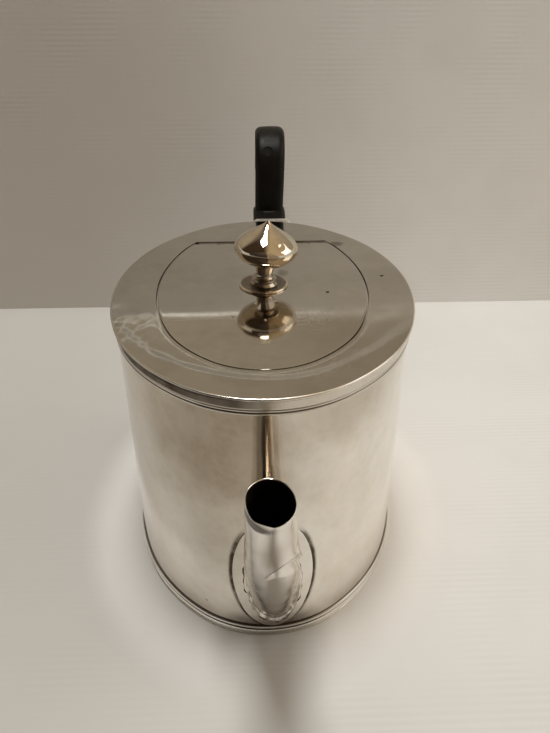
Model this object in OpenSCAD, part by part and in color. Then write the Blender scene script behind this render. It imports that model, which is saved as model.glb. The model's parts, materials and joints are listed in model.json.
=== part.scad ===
// Oval drum teapot in silver, with a flush hinged lid and a wooden handle.
// Millimetres. +Z is up, +X points along the spout and the origin is the middle of
// the footprint, on the surface the pot stands on.

/* [Body] */
// Height of the flat top above the table
pot_height = 96; // [80:1:120]
// Length of the oval wall, spout end to handle end
body_length = 140; // [124:1:160]
// Width of the oval wall
body_width = 101; // [88:1:116]
// Thickness of the wall sheet
wall_thick = 0.6; // [0.5:0.1:1.2]
// Thickness of the bottom sheet
base_thick = 0.7; // [0.5:0.1:1.4]
// Height of the reeded moulding that the pot stands on
foot_height = 4.6; // [3.6:0.1:7]
// How far the foot moulding stands out from the wall
foot_reach = 0.9; // [0.6:0.1:1.6]
// Height of the plain strip with two reeds under the top
shoulder_height = 4.2; // [3.2:0.1:6]
// Diameter of the strainer holes behind the spout
strainer_hole = 2.4; // [1.6:0.1:3]
// Distance between strainer holes
strainer_pitch = 3.9; // [3.4:0.1:5]

/* [Top] */
// Thickness of the flat top and of the lid in it
plate_thick = 1.1; // [0.9:0.1:1.6]
// How far the top overhangs the wall
plate_overhang = 1.5; // [1:0.1:3]
// Gap round the lid
lid_gap = 0.35; // [0.2:0.05:0.6]
// Length of the lid's oval before its back is cut straight
lid_length = 117.6; // [104:0.2:120]
// Width of the lid's oval
lid_width = 73.8; // [62:0.2:78]
// How far the lid's oval sits behind the middle of the pot
lid_setback = 3.8; // [2:0.1:6]
// How far the ledge under the opening reaches in below the lid
seat_reach = 2.2; // [1.5:0.1:3]
// Thickness of the ledge under the opening
seat_thick = 0.9; // [0.6:0.1:1.4]
// Depth of the upright strip under the lid
rim_depth = 3.2; // [2:0.1:5]
// Diameter of the steam vent in the lid
vent_hole = 1.3; // [0.8:0.1:2]
// Distance of the vent from the middle line
vent_side = 22.6; // [15:0.2:25]

/* [Hinge] */
// How far the hinge line lies behind the middle of the pot
hinge_back = 45; // [40:0.5:50]
// Diameter of the hinge barrels
barrel_d = 2.2; // [2:0.1:3.4]
// Length of the whole hinge
hinge_length = 53.2; // [44:0.2:54]
// How far the hinge's middle lies to the left of the pot's
hinge_side = 1.2; // [-2:0.1:2]
// Length of the middle barrel
middle_barrel = 37; // [24:1:38]
// Diameter of the hinge pin
hinge_pin_d = 0.9; // [0.7:0.1:1.4]
// Radial play of the middle barrel on the pin
pin_play = 0.05; // [0.02:0.01:0.1]

/* [Knob] */
// Diameter of the pointed bulb
knob_d = 22.8; // [18:0.2:26]
// Height of the knob above the lid
knob_height = 23.6; // [20:0.2:30]
// Diameter of the waist under the bulb
knob_waist = 5.6; // [5:0.1:8]
// Diameter of the thin disc under the knob
knob_flange_d = 17.4; // [14:0.2:20]
// Lean of the knob towards the side of the pot
knob_lean = 4.5; // [0:0.5:6]
// Diameter of the stud that holds the knob
stud_d = 3; // [2.5:0.1:3.5]

/* [Spout] */
// How far the pouring lip stands out from the wall
spout_reach = 41.2; // [34:0.2:50]
// Depth of the level mouth below the flat top
mouth_drop = 4.8; // [2:0.2:14]
// Length of the mouth, back to front
mouth_length = 15.7; // [13:0.1:20]
// Width of the mouth
mouth_width = 12; // [9:0.1:15]
// Height at which the underside leaves the wall
root_low = 8; // [6.5:0.1:12]
// Height at which the upper side leaves the wall
root_high = 48; // [40:0.5:56]
// Thickness of the spout's sheet
spout_thick = 0.6; // [0.5:0.1:1]
// How far the spout's lower end is set to the left of its mouth
spout_side = 1.8; // [-3:0.1:3]
// Width of the drop-shaped sheet round the root, past the spout
flange_margin = 4.4; // [2.5:0.1:5]
// Thickness of that sheet
flange_thick = 0.6; // [0.4:0.1:1]

/* [Handle] */
// Width of the grip
grip_width = 13.6; // [11:0.1:16]
// Thickness of the grip
grip_thick = 9; // [7:0.1:11]
// Radius of the grip's long edges
grip_round = 2.4; // [1:0.1:3.2]
// Height of the grip's highest point above the flat top
grip_rise = 33; // [26:0.5:42]
// Distance from the wall to the middle of the upright part of the grip
riser_out = 24.5; // [23:0.5:32]
// Radius of the first bend, at the front of the loop
front_bend = 13.5; // [10:0.5:18]
// Radius of the long lower bend
lower_bend = 44; // [38:0.5:50]
// Straight end of the grip between the lower bend and the lower socket
lower_straight = 1.5; // [1:0.5:6]
// Height of the lower end of the grip, at the middle of its thickness
lower_height = 22; // [18:0.5:28]
// How far the handle stands to one side of the middle line
handle_side = 5.4; // [0:0.2:6]
// Diameter of the round plug in the front of the grip
plug_d = 4.2; // [3:0.1:6]
// How far round the front bend the plug sits, in degrees
plug_turn = 35; // [0:1:70]
// How far the plug lies to the right of the grip's middle
plug_side = 1.2; // [-3:0.1:3]

/* [Sockets] */
// Outer width of the upper socket
socket_width = 16; // [15:0.1:20]
// Outer height of the upper socket
socket_height = 15; // [14:0.1:18]
// Thickness of the sockets' sheet
socket_thick = 0.8; // [0.6:0.1:1.2]
// How far the rolled lip at a socket's mouth stands out
socket_lip = 0.8; // [0.3:0.1:1.2]
// Length of the sockets from the wall to the mouth
socket_length = 14; // [10:0.5:16]
// Depth of the upper socket's root below the flat top, at its middle
upper_drop = 13.8; // [13.6:0.2:20]
// Upward tilt of the upper socket
upper_tilt = 14; // [10:1:20]
// Diameter of the cross pins
cross_pin_d = 1.8; // [1.2:0.1:2.4]

/* [Hidden] */
$fn = 96;
silver = "silver";
ebony = [0.09, 0.085, 0.08];
eps = 0.01;        // overlap of cutting shapes past a face
past = 5;          // length of cutting shapes past the work

// Eight-centre ovals: the direction in which the end arc meets the haunch arc, and in
// which the haunch arc meets the side arc. Both are unit vectors with exact decimals,
// and radii are rounded to a tenth, so that the arcs meet without slivers.
end_dir = [0.8, 0.6];
side_dir = [0.352, 0.936];
haunch_ease = 1.17;   // haunch radius over that of an ellipse at 45 degrees
far = 200;            // length of wedges, past any radius
arc_lap = 0.001;      // overlap of neighbouring arcs

// Base outlines, as [half length, half width].
body_oval = [body_length / 2, body_width / 2];
lid_oval = [lid_length / 2, lid_width / 2];

// Levels.
foot_ledge = 0.8;                           // thickness of the foot under the wall
plate_low = pot_height - plate_thick;       // underside of the top and of the lid
shoulder_low = plate_low - shoulder_height;
seat_low = plate_low - seat_thick;

// Mouldings.
band_thick = 0.25;                          // where a moulding is thinnest
reed_sunk = 0.2;                            // share of its radius that a reed is sunk
foot_inside = 2;                            // how far the foot reaches in under the wall
foot_roll = (foot_height - foot_ledge) * 0.33;
foot_reed = (foot_height - foot_ledge) * 0.2;
shoulder_reach = 0.7;
shoulder_reed = shoulder_height * 0.13;
shoulder_strip = shoulder_height * 0.5;

// Hinge.
barrel_r = barrel_d / 2;
hinge_z = pot_height - barrel_r;
plate_clear = 0.1;                          // top plate to barrel
lid_clear = 0.3;                            // lid's back edge to barrel, so it can turn
leaf_thick = 0.8;
leaf_reach = 8;
barrel_gap = 0.1;                           // end play between barrels
outer_barrel = (hinge_length - middle_barrel) / 2;

// Lid.
vent_front = 4.4;                           // vent, in front of the middle of the pot
rim_thick = 0.8;
rim_clear = 0.5;
rim_start = 7;                              // in front of the hinge line
seat_start = 3.5;

// Knob. Heights are above the lid.
nut_height = 2;
nut_width = 5.5;
knob_foot = 0.8;                            // thickness of the disc under the knob
stud_up = 6;                                // length of stud inside the knob
stem_wider = 2;                             // the knob's foot, wider than its waist
bead_wider = 0.8;                           // the bead round that foot
bead_r = 0.6;
bead_level = 2.3;
cove_r = 1.6;                               // the cove between the bead and the waist
cove_level = 4.5;
bulb_low = knob_height * 0.34;
bulb_level = knob_height * 0.59;            // where the bulb is widest
tip_full = 1.85;                            // how full the bulb's shoulder is
tip_sharp = 1.77;                           // how sharply it then draws in to the point
bulb_steps = 12;
knob_setback = 2.8;                         // knob's middle, behind the middle of the pot
knob_side = 0.4;                            // and to the left of it
knob_at = [-knob_setback, knob_side, pot_height];

// Spout. Level cuts through it are ovals, whose front and back edges lie on two lines.
mouth_height = pot_height - mouth_drop;
mouth_x = body_oval[0] + spout_reach - mouth_length / 2;
back_slope = (spout_reach - mouth_length) / (mouth_height - root_high);
low_back_x = body_oval[0] - back_slope * (root_high - root_low);
low_x = (body_oval[0] + low_back_x) / 2;
low_r = (body_oval[0] - low_back_x) / 2;
spout_flat = mouth_width / mouth_length;    // width of a level cut over its length
spout_rise = mouth_height - root_low;
root_mid = (root_low + root_high) / 2;
root_side = spout_side * (mouth_height - root_mid) / spout_rise;
root_oval = [(root_high - root_low) / 2, low_r * spout_flat];
spout_sides = 60;

// Handle, in the plane through its middle. Points are [x, z].
wall_back = -body_oval[0];
riser_x = wall_back - riser_out;
apex_z = pot_height + grip_rise - grip_thick / 2;
upper_height = pot_height - upper_drop;
front_centre = [riser_x - front_bend, apex_z - front_bend];
lower_centre = [wall_back - socket_length - lower_straight, lower_height + lower_bend];
leg_x = lower_centre[0] - lower_bend;
back_bend = front_centre[0] - leg_x;
back_centre = [front_centre[0], apex_z - back_bend];
tenon_width = socket_width - 2 * socket_thick;
tenon_height = socket_height - 2 * socket_thick;
tenon_round = 1.2;
tenon_gap = 2;                              // between the wall and a tenon's end
lip_run = 1.6;                              // length of a socket's rolled lip
knuckle_width = tenon_width + socket_thick; // the thick end of the grip, past the socket
knuckle_height = tenon_height + socket_thick;
knuckle_round = 2;
plug_deep = 3;
plug_sunk = 0.4;                            // plug's face, below the grip's
knuckle_run = riser_out / cos(upper_tilt);  // from the wall to the knuckle's middle
knuckle_z = upper_height + riser_out * tan(upper_tilt);

// ---------------------------------------------------------------- eight-centre ovals

function tenth(x) = round(10 * x) / 10;

// Radii [end, haunch, side] of the oval with half length s[0] and half width s[1]. The
// haunch radius is chosen, and the other two make the oval meet both its axes.
function oval_radii(s) =
    let (r = tenth(haunch_ease * pow(s[0] * s[1], 2)
                   / pow((pow(s[0], 2) + pow(s[1], 2)) / 2, 1.5)),
         p = s[0] - r * (end_dir[0] - side_dir[0]),
         q = s[1] - r * (side_dir[1] - end_dir[1]),
         det = (1 - end_dir[0]) * (1 - side_dir[1]) - side_dir[0] * end_dir[1])
    [tenth((p * (1 - side_dir[1]) - q * side_dir[0]) / det), r,
     tenth(((1 - end_dir[0]) * q - end_dir[1] * p) / det)];

// The eight arcs, each as [radius, centre, first direction, last direction, side]. Side
// is 1 or -1 for an arc that lies wholly on one side of the long axis.
function oval_arcs(s) =
    let (r = oval_radii(s),
         end = [(r[1] - r[0]) * end_dir[0] + (r[2] - r[1]) * side_dir[0], 0],
         haunch = end - (r[1] - r[0]) * end_dir,
         side = haunch - (r[2] - r[1]) * side_dir)
    [for (m = [1, -1]) each [
        [r[0], m * end, m * flipped(end_dir), m * end_dir, 0],
        [r[1], m * haunch, m * end_dir, m * side_dir, m],
        [r[1], m * flipped(haunch), m * flipped(side_dir), m * flipped(end_dir), -m],
        [r[2], m * side, m * side_dir, -m * flipped(side_dir), m]]];

function flipped(v) = [v[0], -v[1]];

// The slice of the plane between an arc's two directions, seen from its centre, and a
// little more, so that neighbouring arcs join.
module wedge(a) {
    turn = arc_lap / a[0];
    polygon([[0, 0], far * (a[2] + turn * [a[2][1], -a[2][0]]),
             far * (a[3] + turn * [-a[3][1], a[3][0]])]);
}

// The half of the plane on one side of the long axis, or the whole of it for side 0.
module half_plane(side) {
    translate([-far, side > 0 ? 0 : -far]) square([2 * far, side == 0 ? 2 * far : far]);
}

// A flat oval, grown outwards from its base outline.
module oval_face(s, grow = 0) {
    for (a = oval_arcs(s))
        intersection() {
            translate(a[1]) circle(a[0] + grow);
            translate(a[1]) wedge(a);
            half_plane(a[4]);
        }
}

module oval_disc(s, grow, low, high) {
    translate([0, 0, low]) linear_extrude(high - low) oval_face(s, grow);
}

// A profile swept round the oval. Its x is the distance outwards from the outline.
module oval_sweep(s) {
    for (a = oval_arcs(s))
        translate(a[1]) intersection() {
            rotate_extrude() translate([a[0], 0]) children();
            linear_extrude(2 * far, center = true) wedge(a);
        }
}

// An upright strip that follows the oval.
module oval_strip(s, inner, outer, low, high) {
    difference() {
        oval_disc(s, outer, low, high);
        oval_disc(s, inner, low - past, high + past);
    }
}

// ---------------------------------------------------------------- body

module body_block(grow = 0) {
    oval_disc(body_oval, grow, -past, pot_height + past);
}

module body_wall() color(silver) difference() {
    oval_strip(body_oval, -wall_thick, 0, foot_ledge, plate_low);
    strainer_holes();
}

// Holes in staggered rows, where the spout's bore meets the wall.
module strainer_holes() {
    inside = [root_oval[0] - spout_thick - strainer_hole,
              root_oval[1] - spout_thick - strainer_hole];
    row_step = strainer_pitch * sin(60);
    rows = floor(inside[0] / row_step);
    for (row = [-rows : rows], column = [-2 : 2]) {
        y = strainer_pitch * (column + (row % 2 == 0 ? 0 : 0.5));
        z = row * row_step;
        if (pow(y / inside[1], 2) + pow(z / inside[0], 2) <= 1)
            translate([body_oval[0] - past, root_side + y, root_mid + z]) rotate([0, 90, 0])
                cylinder(h = 2 * past, d = strainer_hole);
    }
}

module base_plate() color(silver)
    oval_disc(body_oval, -wall_thick, foot_ledge, foot_ledge + base_thick);

// The rim that the pot stands on, with a large roll and a small reed above it, on a thin
// band against the wall.
module foot_moulding() color(silver)
    oval_sweep(body_oval) {
        translate([-foot_inside, 0]) square([foot_inside + foot_reach - band_thick, foot_ledge]);
        translate([0, foot_ledge]) square([band_thick, foot_height - foot_ledge]);
        reeding(foot_roll, foot_reach, foot_ledge + (2 - reed_sunk) * foot_roll);
        reeding(foot_reed, 0.8 * foot_reach, foot_height - band_thick);
    }

// A plain strip under the top, with two reeds below it.
module shoulder_moulding() color(silver)
    oval_sweep(body_oval) {
        translate([0, shoulder_low]) square([band_thick, shoulder_height]);
        translate([0, plate_low - shoulder_strip]) square([shoulder_reach, shoulder_strip]);
        for (n = [0, 1])
            reeding(shoulder_reed, shoulder_reach, plate_low - shoulder_strip
                    - (2 - reed_sunk) * n * shoulder_reed + reed_sunk * shoulder_reed);
    }

// Section of one reed, cut flat against the wall. It reaches out so far, up to a height.
module reeding(r, reach, top) {
    intersection() {
        translate([reach - r, top - r]) circle(r);
        translate([0, top - 3 * r]) square(3 * r);
    }
}

// The opening in the top, or the lid that fills it: an oval with a straight back.
module lid_shape(grow, back, low, high) {
    intersection() {
        translate([-lid_setback, 0]) oval_disc(lid_oval, grow, low, high);
        translate([-hinge_back + back, -body_width / 2, low])
            cube([body_length, body_width, high - low]);
    }
}

module top_plate() color(silver) difference() {
    union() {
        oval_disc(body_oval, plate_overhang - plate_thick / 2, plate_low, pot_height);
        oval_sweep(body_oval) translate([plate_overhang - plate_thick / 2, plate_low])
            rounded_edge(plate_thick);
    }
    lid_shape(lid_gap, -barrel_r - plate_clear, plate_low - eps, pot_height + eps);
    translate([-hinge_back, hinge_side, pot_height])
        cube([2 * (barrel_r + plate_clear), hinge_length + 2 * lid_gap, 4 * plate_thick],
             center = true);
}

// Half-round edge of a sheet, standing on the x axis, with a little of the sheet.
module rounded_edge(thick) {
    intersection() {
        translate([0, thick / 2]) circle(d = thick);
        square(thick);
    }
    translate([-thick, 0]) square(thick);
}

module lid_seat() color(silver) intersection() {
    translate([-lid_setback, 0])
        oval_strip(lid_oval, -seat_reach, seat_reach + lid_gap, seat_low, plate_low);
    translate([-hinge_back + seat_start, -body_width / 2, seat_low - past])
        cube([body_length, body_width, 2 * past]);
}

// ---------------------------------------------------------------- spout

// One level cut through the spout, thinner by an inset all round.
function spout_cut(z, inset) =
    let (t = (z - root_low) / spout_rise,
         r = low_r + (mouth_length / 2 - low_r) * t - inset / spout_flat)
    [for (n = [0 : spout_sides - 1])
        [low_x + (mouth_x - low_x) * t + r * cos(360 * n / spout_sides),
         spout_side * (1 - t) + r * spout_flat * sin(360 * n / spout_sides), z]];

// The leaning, tapering spout as a solid, or its bore, which runs on past both ends.
module spout_cone(inset, over) {
    last = spout_sides - 1;
    polyhedron(
        points = concat(spout_cut(root_low - over, inset),
                        spout_cut(mouth_height + over, inset)),
        faces = concat(
            [[for (n = [0 : last]) n], [for (n = [last : -1 : 0]) spout_sides + n]],
            [for (n = [0 : last]) [n, spout_sides + n,
                                   spout_sides + (n + 1) % spout_sides,
                                   (n + 1) % spout_sides]]));
}

module spout() color(silver) difference() {
    spout_cone(0, 0);
    spout_cone(spout_thick, 2);
    body_block();
}

// Lies on the wall round the spout's root.
module spout_flange() color(silver) difference() {
    intersection() {
        translate([0, root_side, root_mid]) rotate([0, 90, 0])
            linear_extrude(body_length)
                oval_face(root_oval + flange_margin * [1, 1]);
        oval_strip(body_oval, 0, flange_thick, foot_height, shoulder_low);
    }
    spout_cone(0, past);
}

// ---------------------------------------------------------------- handle

// Places children at a socket's root, with x running out of the wall along the socket.
module at_upper() {
    translate([wall_back, handle_side, upper_height]) rotate([0, 180 + upper_tilt, 0])
        mirror([0, 0, 1]) children();
}

module at_lower() {
    translate([wall_back, handle_side, lower_height]) rotate([0, 180, 0])
        mirror([0, 0, 1]) children();
}

// A bar with rounded long edges, centred on x.
module rounded_bar(from, to, width, height, r) {
    translate([from, 0, 0]) rotate([90, 0, 90]) linear_extrude(to - from)
        rounded_section(width, height, r);
}

module rounded_section(width, height, r) {
    square([width - 2 * r, height], center = true);
    square([width, height - 2 * r], center = true);
    for (x = [-1, 1], y = [-1, 1])
        translate([x * (width / 2 - r), y * (height / 2 - r)]) circle(r);
}

// Square tube round a tenon, with a rolled lip at its mouth. It runs on into the pot.
module socket(width, height, r) {
    sheet = 2 * socket_thick;
    lip = 2 * (socket_thick + socket_lip);
    difference() {
        union() {
            rounded_bar(-past, socket_length, width + sheet, height + sheet, r + sheet / 2);
            rounded_bar(socket_length - lip_run, socket_length, width + lip, height + lip,
                        r + lip / 2);
        }
        rounded_bar(-2 * past, socket_length + past, width, height, r);
        cross_pin(width + past);
    }
}

module upper_socket() color(silver) difference() {
    at_upper() socket(tenon_width, tenon_height, tenon_round);
    body_block();
}

module lower_socket() color(silver) difference() {
    at_lower() socket(grip_width, grip_thick, grip_round);
    body_block();
}

// Goes through a socket and its tenon, flush with both sides of the socket.
module cross_pin(tenon) {
    translate([socket_length / 2, 0, 0]) rotate([90, 0, 0])
        cylinder(h = tenon + 2 * socket_thick, d = cross_pin_d, center = true);
}

module upper_handle_pin() color(silver) at_upper() cross_pin(tenon_width);

module lower_handle_pin() color(silver) at_lower() cross_pin(grip_width);

// The grip's section, swept through part of a bend about a level axis. Angles are
// measured from +x towards +z.
module bend(centre, radius, from, to) {
    translate([centre[0], handle_side, centre[1]]) rotate([90, 0, 0]) rotate(from)
        rotate_extrude(angle = to - from) translate([radius, 0])
            rounded_section(grip_thick, grip_width, grip_round);
}

// A straight upright run of the grip.
module upright(x, low, high) {
    translate([x, handle_side, low]) linear_extrude(high - low)
        rounded_section(grip_thick, grip_width, grip_round);
}

// Half-round end of the knuckle, with its edges rounded like the rest of it.
module knuckle_end() {
    rotate([90, 0, 0]) rotate(-90) rotate_extrude(angle = 180) intersection() {
        rounded_section(knuckle_height, knuckle_width, knuckle_round);
        translate([0, -knuckle_width]) square([knuckle_height, 2 * knuckle_width]);
    }
}

module handle() color(ebony) difference() {
    union() {
        at_upper() {
            rounded_bar(-past, socket_length, tenon_width, tenon_height, tenon_round);
            rounded_bar(socket_length, knuckle_run, knuckle_width, knuckle_height,
                        knuckle_round);
            translate([knuckle_run, 0, 0]) knuckle_end();
        }
        upright(riser_x, knuckle_z, front_centre[1]);
        bend(front_centre, front_bend, 0, 90);
        bend(back_centre, back_bend, 90, 180);
        upright(leg_x, lower_centre[1], back_centre[1]);
        bend(lower_centre, lower_bend, 180, 270);
        at_lower() rounded_bar(-past, socket_length + lower_straight, grip_width,
                               grip_thick, grip_round);
    }
    body_block(tenon_gap);
    at_upper() cross_pin(tenon_width);
    at_lower() cross_pin(grip_width);
    plug_hole();
}

// Out along the middle of the bend's radius at the plug, from the hole's bottom.
module at_plug() {
    translate([front_centre[0], handle_side - plug_side, front_centre[1]])
        rotate([0, 90 - plug_turn, 0])
            translate([0, 0, front_bend + grip_thick / 2 - plug_deep])
                children();
}

module plug_hole() at_plug() cylinder(h = 2 * plug_deep, d = plug_d);

module handle_plug() color(ebony) at_plug() cylinder(h = plug_deep - plug_sunk, d = plug_d);

// ---------------------------------------------------------------- hinge

// A barrel and its share of a leaf. side is 1 for the lid's half and -1 for the pot's.
module barrel(from, to, bore) {
    translate([-hinge_back, hinge_side + from, hinge_z]) rotate([-90, 0, 0]) difference() {
        cylinder(h = to - from, d = barrel_d);
        translate([0, 0, -eps]) cylinder(h = to - from + 2 * eps, d = bore);
    }
}

module leaf(from, to, start, end) {
    translate([-hinge_back + min(start, end), hinge_side + from, plate_low - leaf_thick])
        cube([abs(end - start), to - from, leaf_thick]);
}

module body_hinge() color(silver) {
    half = hinge_length / 2;
    for (from = [-half, half - outer_barrel]) {
        barrel(from, from + outer_barrel, hinge_pin_d);
        difference() {
            leaf(from, from + outer_barrel, 0, -leaf_reach);
            translate([-hinge_back, 0, hinge_z]) rotate([90, 0, 0])
                cylinder(h = 2 * hinge_length, d = barrel_d - eps, center = true);
        }
    }
    leaf(-half, half, -barrel_r - plate_clear, -leaf_reach);
}

module hinge_pin() color(silver)
    translate([-hinge_back, hinge_side, hinge_z]) rotate([90, 0, 0])
        cylinder(h = hinge_length, d = hinge_pin_d, center = true);

module lid_hinge() color(silver) {
    half = middle_barrel / 2 - barrel_gap;
    barrel(-half, half, hinge_pin_d + 2 * pin_play);
    difference() {
        leaf(-half, half, 0, leaf_reach);
        translate([-hinge_back, 0, hinge_z]) rotate([90, 0, 0])
            cylinder(h = 2 * hinge_length, d = barrel_d - eps, center = true);
    }
}

// ---------------------------------------------------------------- lid

module lid_plate() color(silver) difference() {
    lid_shape(0, barrel_r + lid_clear, plate_low, pot_height);
    translate(knob_at) cylinder(h = 4 * plate_thick, d = stud_d, center = true);
    translate([vent_front, vent_side, plate_low])
        cylinder(h = 4 * plate_thick, d = vent_hole, center = true);
}

module lid_rim() color(silver) intersection() {
    outer = -seat_reach - rim_clear;
    translate([-lid_setback, 0])
        oval_strip(lid_oval, outer - rim_thick, outer, plate_low - rim_depth, plate_low);
    translate([-hinge_back + rim_start, -body_width / 2, 0])
        cube([body_length, body_width, pot_height]);
}

module knob_flange() color(silver) translate(knob_at) difference() {
    union() {
        cylinder(h = knob_foot, d = knob_flange_d - knob_foot);
        rotate_extrude() translate([(knob_flange_d - knob_foot) / 2, 0])
            rounded_edge(knob_foot);
    }
    translate([0, 0, -eps]) cylinder(h = knob_foot + 2 * eps, d = stud_d);
}

// Points along a bend of the outline, from one angle to another.
function turned(centre, r, from, to, steps = 8) =
    [for (n = [0 : steps]) centre + r * [cos(from + (to - from) * n / steps),
                                         sin(from + (to - from) * n / steps)]];

// Half of the knob's section: a foot with a bead, a waist, then a bulb that draws in to a
// point. It starts below the disc, so that a leaning knob still meets it all round.
module knob_section() {
    waist = knob_waist / 2;
    bulb = knob_d / 2;
    polygon(concat(
        [[0, -knob_foot], [waist + stem_wider, -knob_foot],
         [waist + stem_wider, bead_level - 2 * bead_r]],
        turned([waist + bead_wider, bead_level], bead_r, -60, 90),
        turned([waist + cove_r, cove_level], cove_r, 270, 180),
        [for (n = [0 : bulb_steps]) let (a = 90 * n / bulb_steps)
            [waist + (bulb - waist) * sin(a),
             bulb_level - (bulb_level - bulb_low) * cos(a)]],
        [for (n = [1 : bulb_steps]) let (t = n / bulb_steps)
            [bulb * pow(1 - pow(t, tip_full), tip_sharp),
             bulb_level + (knob_height - bulb_level) * t]]));
}

module knob() color(silver) translate(knob_at) difference() {
    rotate([-knob_lean, 0, 0]) rotate_extrude() knob_section();
    translate([-knob_d, -knob_d, knob_foot - knob_d]) cube([2 * knob_d, 2 * knob_d, knob_d]);
    cylinder(h = knob_foot + stud_up, d = stud_d);
}

module knob_stud() color(silver) translate(knob_at) translate([0, 0, -plate_thick - nut_height])
    cylinder(h = plate_thick + nut_height + knob_foot + stud_up, d = stud_d);

module knob_nut() color(silver) translate(knob_at)
    translate([0, 0, -plate_thick - nut_height]) difference() {
        cylinder(h = nut_height, d = nut_width / cos(30), $fn = 6);
        translate([0, 0, -eps]) cylinder(h = nut_height + 2 * eps, d = stud_d);
    }

// ---------------------------------------------------------------- assembly

body_wall();
base_plate();
foot_moulding();
shoulder_moulding();
top_plate();
lid_seat();
spout();
spout_flange();
upper_socket();
lower_socket();
handle();
upper_handle_pin();
lower_handle_pin();
handle_plug();
body_hinge();
hinge_pin();
lid_plate();
lid_rim();
lid_hinge();
knob_flange();
knob();
knob_stud();
knob_nut();
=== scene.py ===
# %% [markdown]
# # A silver drum teapot
# The pot is an oval drum of sheet silver with a flat top, a flush lid on a hinge, a straight
# tapering spout and a black wooden handle. Its solids come from a packed model that is loaded as
# a fixed frame. Everything here is made around them, in metres, in the same place: each piece
# below either gives one of those solids a finish or stands in for it with a livelier surface.

# %% Load the frame
import json
import math

import bmesh
import bpy
import numpy as np
from mathutils import Matrix, Vector

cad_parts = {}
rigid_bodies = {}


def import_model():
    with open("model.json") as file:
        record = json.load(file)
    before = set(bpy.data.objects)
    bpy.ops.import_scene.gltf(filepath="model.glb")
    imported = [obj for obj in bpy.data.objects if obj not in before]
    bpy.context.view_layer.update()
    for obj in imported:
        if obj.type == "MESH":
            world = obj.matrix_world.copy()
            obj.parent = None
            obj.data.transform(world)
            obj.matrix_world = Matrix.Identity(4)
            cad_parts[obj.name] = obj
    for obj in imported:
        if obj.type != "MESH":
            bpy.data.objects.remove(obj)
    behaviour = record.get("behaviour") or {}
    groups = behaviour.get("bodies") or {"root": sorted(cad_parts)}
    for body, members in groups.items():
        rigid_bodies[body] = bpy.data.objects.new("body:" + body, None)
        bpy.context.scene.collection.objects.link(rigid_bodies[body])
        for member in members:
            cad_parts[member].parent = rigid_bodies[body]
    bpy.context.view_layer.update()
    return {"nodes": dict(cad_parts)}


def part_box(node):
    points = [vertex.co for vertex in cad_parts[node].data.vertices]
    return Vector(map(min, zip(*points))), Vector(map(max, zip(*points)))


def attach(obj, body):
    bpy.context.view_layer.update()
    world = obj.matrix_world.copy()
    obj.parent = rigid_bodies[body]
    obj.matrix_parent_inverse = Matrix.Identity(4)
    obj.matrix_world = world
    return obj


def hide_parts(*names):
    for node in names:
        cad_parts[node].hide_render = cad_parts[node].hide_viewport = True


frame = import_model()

MM = 0.001

# %% [markdown]
# A few sizes are read from the solids, so that the new pieces sit exactly where the solids are.
# The rest of this file works them out from these and from named values beside each piece.

# %% Sizes taken from the solids
wall_low, wall_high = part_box("body_wall")
plate_low, plate_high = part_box("top_plate")
_, lid_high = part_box("lid_plate")
spout_low, spout_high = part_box("spout")
flange_low, flange_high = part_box("spout_flange")
disc_low, disc_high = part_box("knob_flange")

TOP = plate_high.z
PLATE_THICK = plate_high.z - plate_low.z
WALL_THICK = 0.6 * MM
BODY = (wall_high.x, wall_high.y)
OVERHANG = plate_high.x - wall_high.x
LID_SETBACK = 3.8 * MM
LID_GAP = 0.35 * MM
LID = (lid_high.x + LID_SETBACK, lid_high.y)
HINGE_X = -45 * MM
print(f"body {2e3 * BODY[0]:.1f} x {2e3 * BODY[1]:.1f} mm, top at {1e3 * TOP:.1f} mm")

# %% [markdown]
# ## The oval
# A silversmith's oval isn't an ellipse. It is drawn with compasses as arcs that run smoothly into
# each other: a small one at each end, a large one along each side and a haunch between them. The
# function gives points along it at even steps, with the outward direction at each. Moving every
# point along that direction gives a parallel oval, so one outline serves the wall and all that
# follows it.

# %% Points along a parallel oval
END_DIR = np.array([0.8, 0.6])
SIDE_DIR = np.array([0.352, 0.936])
HAUNCH_EASE = 1.17


def oval(half, count):
    """Evenly spaced points of the oval with these half sizes, and the outward direction at each."""
    a, b = half[0] / MM, half[1] / MM
    haunch_r = round(10 * HAUNCH_EASE * (a * b) ** 2 / ((a * a + b * b) / 2) ** 1.5) / 10
    p = a - haunch_r * (END_DIR[0] - SIDE_DIR[0])
    q = b - haunch_r * (SIDE_DIR[1] - END_DIR[1])
    det = (1 - END_DIR[0]) * (1 - SIDE_DIR[1]) - SIDE_DIR[0] * END_DIR[1]
    end_r = (p * (1 - SIDE_DIR[1]) - q * SIDE_DIR[0]) / det
    side_r = ((1 - END_DIR[0]) * q - END_DIR[1] * p) / det
    end = np.array([a - end_r, 0])
    haunch = end - (haunch_r - end_r) * END_DIR
    side = haunch - (side_r - haunch_r) * SIDE_DIR
    turns = [math.atan2(END_DIR[1], END_DIR[0]), math.atan2(SIDE_DIR[1], SIDE_DIR[0])]
    arcs = [(end, end_r, 0, turns[0]), (haunch, haunch_r, turns[0], turns[1]),
            (side, side_r, turns[1], math.pi / 2)]
    quarter = sum(r * (hi - lo) for _, r, lo, hi in arcs)
    places, outs = [], []
    for k in range(count):
        along = 4 * quarter * k / count
        quadrant, rest = int(along // quarter), along % quarter
        if quadrant % 2:
            rest = quarter - rest
        for centre, r, lo, hi in arcs:
            if rest <= r * (hi - lo) or hi == math.pi / 2:
                break
            rest -= r * (hi - lo)
        turn = lo + rest / r
        out = np.array([math.cos(turn), math.sin(turn)])
        flip = np.array([(1, 1), (-1, 1), (-1, -1), (1, -1)][quadrant])
        places.append((centre + r * out) * flip)
        outs.append(out * flip)
    return np.array(places) * MM, np.array(outs)


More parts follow.
